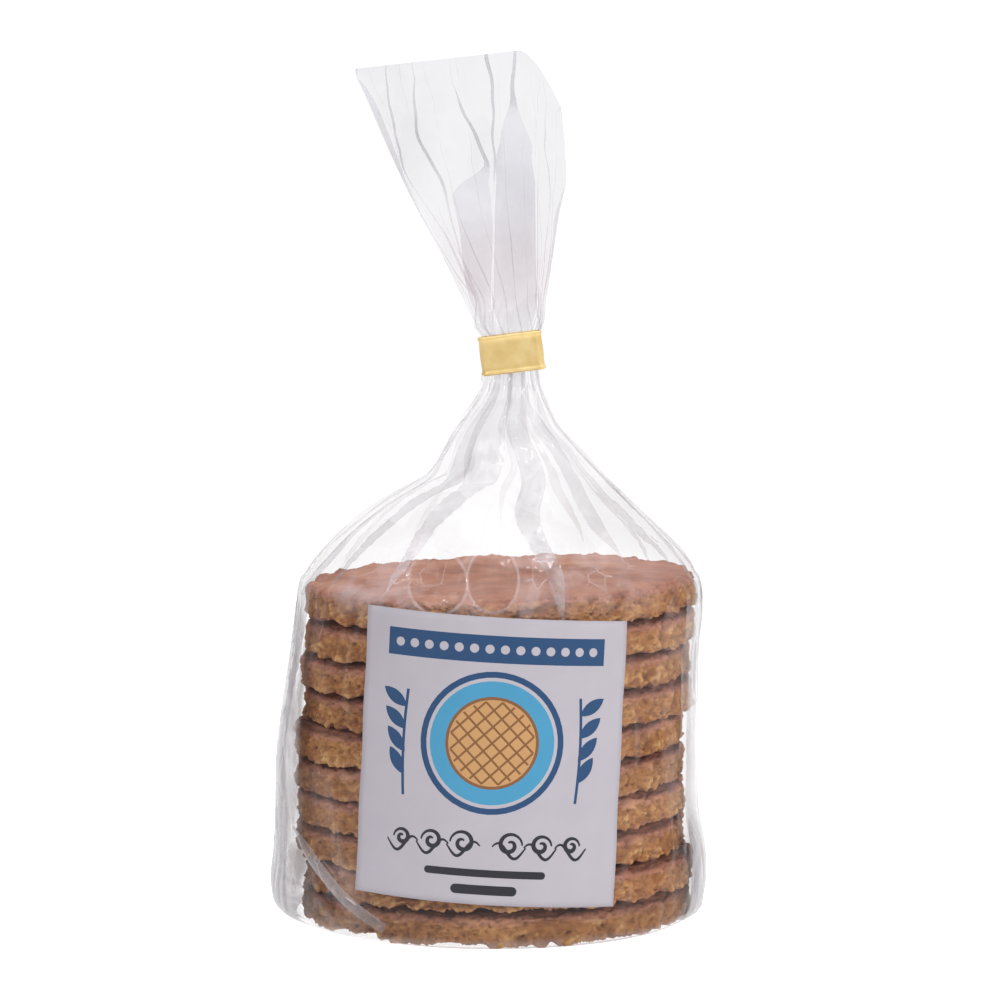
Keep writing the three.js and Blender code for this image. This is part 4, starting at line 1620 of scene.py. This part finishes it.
def sheet_solid(flat, faces, thickness):
    """The label on the bag, as points and faces: its front, its back and the rim between."""
    rise = np.clip(abs(flat[:, 0]) / (LABEL_WIDTH / 2), 0, 1) ** 6
    wave = LABEL_CURL * rise * (1 + np.sin(flat[:, 1] * 0.33 + 1.2 * np.sign(flat[:, 0])))
    base = LABEL_LIFT + wave
    points = np.concatenate([label_surface(flat, base + thickness), label_surface(flat, base)])
    count = len(flat)
    turned = [tuple(i + count for i in f[::-1]) for f in faces]
    sides = dict.fromkeys(side for f in faces for side in zip(f, (*f[1:], f[0])))
    rim = [(b, a, a + count, b + count) for a, b in sides if (b, a) not in sides]
    return points, [*faces, *turned, *rim]


class PackLabelSettings(bpy.types.PropertyGroup):
    thickness: bpy.props.FloatProperty(
        name="Thickness", description="Thickness of the paper and its glue", default=0.2 * MM,
        subtype="DISTANCE",
    )
    paper: bpy.props.FloatVectorProperty(
        name="Paper", description="Colour of the paper", default=(0.475, 0.445, 0.49),
        subtype="COLOR",
    )
    dark_ink: bpy.props.FloatVectorProperty(
        name="Dark ink", description="Colour of the bar, the ring and the leaves",
        default=(0.010, 0.055, 0.15), subtype="COLOR",
    )
    light_ink: bpy.props.FloatVectorProperty(
        name="Light ink", description="Colour of the disc", default=(0.06, 0.30, 0.50),
        subtype="COLOR",
    )


class PACK_OT_label(bpy.types.Operator):
    """Builds the printed paper label"""

    bl_idname = "pack.label"
    bl_label = "Label"

    def execute(self, context):
        settings = context.scene.pack_label
        flat, faces, ink = printed_sheet()
        points, faces = sheet_solid(flat, faces, settings.thickness / MM)
        colors = {
            "paper": tuple(settings.paper),
            "ink_blue": tuple(settings.dark_ink),
            "ink_sky": tuple(settings.light_ink),
            "ink_black": INK_BLACK,
            "ink_tan": INK_TAN,
            "ink_brown": INK_BROWN,
        }
        inks = [paper_material(name, color) for name, color in colors.items()]
        made = mesh_object("label_print", placed(points), faces, inks)
        for face, color in zip(made.data.polygons, ink):
            face.material_index = int(color)
        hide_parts("label")
        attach(made, "root")
        return {"FINISHED"}


# ---- the tie ----

STRIP_THICKNESS = 0.4
STRIP_INSET = 0.75  # from the tie's outside to the middle of the strip's thickness
STRIP_START_X, STRIP_END_X = 2.5, -3.6  # both on the back
STRIP_OVERLAP = 7.5  # the length at its end that lies over its start
OVERLAP_LIFT = 0.62
OVERLAP_RISE = 3.0  # it climbs over this length
WIRE_RADIUS = 0.42
TIE_CORNER = 1.1


def tie_path():
    """The middle of the strip's thickness, seen from above: once round, then over its start."""
    half_x, half_y = TIE_WIDTH / 2 - STRIP_INSET, TIE_DEPTH / 2 - STRIP_INSET
    inner = np.array((half_x - TIE_CORNER, half_y - TIE_CORNER))
    corners = []
    for turn, sides in zip((0.5, 1, 1.5, 2), ((-1, 1), (-1, -1), (1, -1), (1, 1))):
        angle = np.linspace(turn, turn + 0.5, 9) * math.pi
        arc = TIE_CORNER * np.stack([np.cos(angle), np.sin(angle)], axis=1)
        corners.append(inner * sides + arc)
    start = np.linspace(STRIP_START_X, -inner[0], 12)
    points = [np.stack([start, np.full(12, half_y)], axis=1), corners[0]]
    share = np.linspace(0, 1, 12)[1:-1, None]
    for before, after in zip(corners, corners[1:]):
        points += [before[-1] * (1 - share) + after[0] * share, after]
    tail = np.linspace(inner[0], STRIP_END_X, 14)[1:]
    path = np.concatenate([*points, np.stack([tail, np.full(13, half_y)], axis=1)])
    steps = np.linalg.norm(np.diff(path, axis=0), axis=1)
    length = np.concatenate([[0], np.cumsum(steps)])
    along = np.gradient(path, axis=0)
    outward = np.stack([along[:, 1], -along[:, 0]], axis=1)
    outward /= np.linalg.norm(outward, axis=1, keepdims=True)
    climbed = (length - (length[-1] - STRIP_OVERLAP) + OVERLAP_RISE) / OVERLAP_RISE
    return path + outward * OVERLAP_LIFT * smoothstep(climbed)[:, None], outward


def strip_section():
    """Height and thickness round the strip: two wires, with flat film between them."""
    reach = TIE_HEIGHT / 2 - WIRE_RADIUS
    half = STRIP_THICKNESS / 2
    angle = np.linspace(-0.28, 1.28, 9) * math.pi
    upper = np.stack([reach + WIRE_RADIUS * np.sin(angle), WIRE_RADIUS * np.cos(angle)], axis=1)
    flat = np.linspace(reach - WIRE_RADIUS * 1.6, -reach + WIRE_RADIUS * 1.6, 9)
    inner = np.stack([flat, np.full(9, -half)], axis=1)
    lower = -upper
    outer = np.stack([flat[::-1], np.full(9, half)], axis=1)
    return np.concatenate([upper, inner, lower, outer])


class PackTieSettings(bpy.types.PropertyGroup):
    buckle: bpy.props.FloatProperty(
        name="Buckle", description="How far the strip's middle bulges along its length",
        default=0.12 * MM, subtype="DISTANCE",
    )
    dark_gold: bpy.props.FloatVectorProperty(
        name="Dark gold", description="Darkest colour of the brushed strip",
        default=(0.80, 0.57, 0.22), subtype="COLOR",
    )
    light_gold: bpy.props.FloatVectorProperty(
        name="Light gold", description="Lightest colour of the brushed strip",
        default=(0.90, 0.70, 0.32), subtype="COLOR",
    )


class PACK_OT_tie(bpy.types.Operator):
    """Builds the gold tie round the neck"""

    bl_idname = "pack.tie"
    bl_label = "Tie"

    def execute(self, context):
        settings = context.scene.pack_tie
        path, outward = tie_path()
        profile = strip_section()
        height, thickness = profile.T
        bulge = settings.buckle / MM * np.sin(np.arange(len(path)) * 0.9)[:, None]
        depth = thickness + bulge * (1 - abs(height) / (TIE_HEIGHT / 2))
        x, y = (
            (path[:, i, None] + outward[:, i, None] * depth).ravel() for i in range(2)
        )
        z = np.tile(height, len(path))
        c, s = math.cos(TIE_TILT), math.sin(TIE_TILT)
        points = np.stack([x * c - z * s + NECK_X, y, x * s + z * c + TIE_Z], axis=1)
        faces = tube_faces(len(path), len(profile))
        gold = gold_material(tuple(settings.dark_gold), tuple(settings.light_gold))
        made = mesh_object("tie_strip", placed(points), faces, [gold])
        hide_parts("tie")
        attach(made, "root")
        return {"FINISHED"}


# ---- the stage ----

CAMERA_DISTANCE = 752 * MM
CAMERA_HEIGHT = 149 * MM
CAMERA_PITCH = math.radians(4.8)
CAMERA_LENS = 131.3
CAMERA_SENSOR = 36
FILM_LAYERS = 48  # how many layers of clear film light may pass
BACKDROP_LIGHT = 1.03
FLOOR_GLOW = 0.92
FLOOR_BOUNCE = 0.6
DIFFUSE_LIGHT = 0.42  # what falls on rough things from all round
# What glossy film reflects, of the room in general and in each direction.
ROOM_LIGHT = 0.4
CAMERA_SIDE_LIGHT = 0.2
TOP_LIGHT = 1.1
LEFT_LIGHT = 0.6
RIGHT_LIGHT = 0.66


def floor_material():
    """A pale floor that glows white, less so on rough things beside it."""
    made, tree, _ = material("floor")
    path = node_of(tree, "ShaderNodeLightPath")
    glow = Field(tree, path.outputs["Is Diffuse Ray"]) * (FLOOR_BOUNCE - FLOOR_GLOW) + FLOOR_GLOW
    finish_material(
        tree,
        principled(
            tree, base_color=(0.4, 0.4, 0.4, 1), roughness=0.9, emission_color=(1, 1, 1, 1),
            emission_strength=glow,
        ),
    )
    return made


def studio_world():
    """A white backdrop all round, soft light from it, and a room for glossy film to reflect."""
    world = bpy.data.worlds.new("studio")
    world.use_nodes = True
    tree = world.node_tree
    tree.nodes.clear()
    toward = output_of(tree, "ShaderNodeTexCoord", output="Generated")
    right, back, up = axes_of(tree, toward)
    sides = LEFT_LIGHT + right.smooth(-0.15, 0.15) * (RIGHT_LIGHT - LEFT_LIGHT)
    strength = ROOM_LIGHT + back.smooth(0.1, 0.55) * (sides - ROOM_LIGHT)
    strength = strength + up.smooth(0.1, 0.5) * (TOP_LIGHT - strength)
    strength = strength + back.smooth(-0.7, -0.93) * (CAMERA_SIDE_LIGHT - strength)
    path = node_of(tree, "ShaderNodeLightPath")
    rough = Field(tree, path.outputs["Is Diffuse Ray"])
    strength = strength + rough * (DIFFUSE_LIGHT - strength)
    room = output_of(
        tree, "ShaderNodeBackground", {"Color": (0.94, 0.93, 0.96, 1), "Strength": strength}
    )
    white = output_of(
        tree, "ShaderNodeBackground", {"Color": (1, 1, 1, 1), "Strength": BACKDROP_LIGHT}
    )
    seen = Field(tree, path.outputs["Is Camera Ray"])
    shown = output_of(tree, "ShaderNodeMixShader", {0: seen, 1: room, 2: white})
    out = tree.nodes.new("ShaderNodeOutputWorld")
    tree.links.new(shown.socket, out.inputs[0])
    return world


def area_light(name, place, target, size, power, mirrored=True):
    """A rectangular light that faces its target; glossy things mirror it, or don't."""
    light = bpy.data.lights.new(name, "AREA")
    light.shape = "RECTANGLE"
    light.size, light.size_y = size
    light.energy = power
    made = bpy.data.objects.new(name, light)
    made.location = place
    made.rotation_euler = (Vector(target) - Vector(place)).to_track_quat("-Z", "Y").to_euler()
    made.visible_glossy = mirrored
    bpy.context.scene.collection.objects.link(made)


class PackStageSettings(bpy.types.PropertyGroup):
    key_power: bpy.props.FloatProperty(
        name="Key", description="Power of the soft light from the front left", default=2.0,
        unit="POWER",
    )
    fill_power: bpy.props.FloatProperty(
        name="Fill", description="Power of the soft light from the right", default=4.7,
        unit="POWER",
    )
    top_power: bpy.props.FloatProperty(
        name="Top", description="Power of the soft light from above", default=2.2, unit="POWER",
    )
    glint_power: bpy.props.FloatProperty(
        name="Glints", description="Power of each small light that glints on the film",
        default=0.3, unit="POWER",
    )


class PACK_OT_stage(bpy.types.Operator):
    """Builds the floor, the backdrop, the lights and the camera"""

    bl_idname = "pack.stage"
    bl_label = "Stage"

    def execute(self, context):
        scene = context.scene
        settings = scene.pack_stage
        floor = mesh_object(
            "floor", [(-0.6, -0.6, 0), (0.6, -0.6, 0), (0.6, 0.6, 0), (-0.6, 0.6, 0)],
            [(0, 1, 2, 3)], [floor_material()],
        )
        scene.world = studio_world()
        target = (AXIS_X, 0, 0.07)
        area_light("key", (-0.55, -0.75, 0.7), target, (0.5, 0.5), settings.key_power)
        area_light("fill", (0.7, -0.6, 0.45), target, (0.4, 0.6), settings.fill_power, False)
        area_light("top", (0, 0.05, 0.9), target, (0.7, 0.5), settings.top_power)
        small, glint = (0.07, 0.07), settings.glint_power
        area_light("glint_left", (-0.25, -0.62, 0.62), target, small, glint)
        area_light("glint_top", (0.12, -0.2, 0.85), target, small, glint)
        camera_data = bpy.data.cameras.new("camera")
        camera_data.lens = CAMERA_LENS
        camera_data.sensor_width = CAMERA_SENSOR
        camera = bpy.data.objects.new("camera", camera_data)
        camera.location = (AXIS_X, -CAMERA_DISTANCE, CAMERA_HEIGHT)
        camera.rotation_euler = (math.pi / 2 - CAMERA_PITCH, 0, 0)
        scene.collection.objects.link(camera)
        scene.camera = camera
        scene.view_settings.view_transform = "Standard"
        scene.cycles.transparent_max_bounces = FILM_LAYERS
        return {"FINISHED"}


SETTINGS = {
    "pack_stage": PackStageSettings,
    "pack_waffles": PackWaffleSettings,
    "pack_film": PackFilmSettings,
    "pack_label": PackLabelSettings,
    "pack_tie": PackTieSettings,
}
OPERATORS = (PACK_OT_stage, PACK_OT_waffles, PACK_OT_film, PACK_OT_label, PACK_OT_tie)


class PACK_PT_parts(bpy.types.Panel):
    """Lists the pack's parts and their settings"""

    bl_idname = "PACK_PT_parts"
    bl_label = "Bagged waffles"
    bl_space_type = "VIEW_3D"
    bl_region_type = "UI"
    bl_category = "Pack"

    def draw(self, context):
        for key, operator in zip(SETTINGS, OPERATORS):
            box = self.layout.box()
            settings = getattr(context.scene, key)
            for name in SETTINGS[key].__annotations__:
                box.prop(settings, name)
            box.operator(operator.bl_idname)


CLASSES = (*SETTINGS.values(), *OPERATORS, PACK_PT_parts)


def register():
    for each in CLASSES:
        bpy.utils.register_class(each)
    for key, settings in SETTINGS.items():
        setattr(bpy.types.Scene, key, bpy.props.PointerProperty(type=settings))


def unregister():
    for key in SETTINGS:
        delattr(bpy.types.Scene, key)
    for each in reversed(CLASSES):
        bpy.utils.unregister_class(each)


def main():
    register()
    bpy.ops.pack.stage()
    bpy.ops.pack.waffles()
    bpy.ops.pack.film()
    bpy.ops.pack.label()
    bpy.ops.pack.tie()


if __name__ == "__main__":
    main()
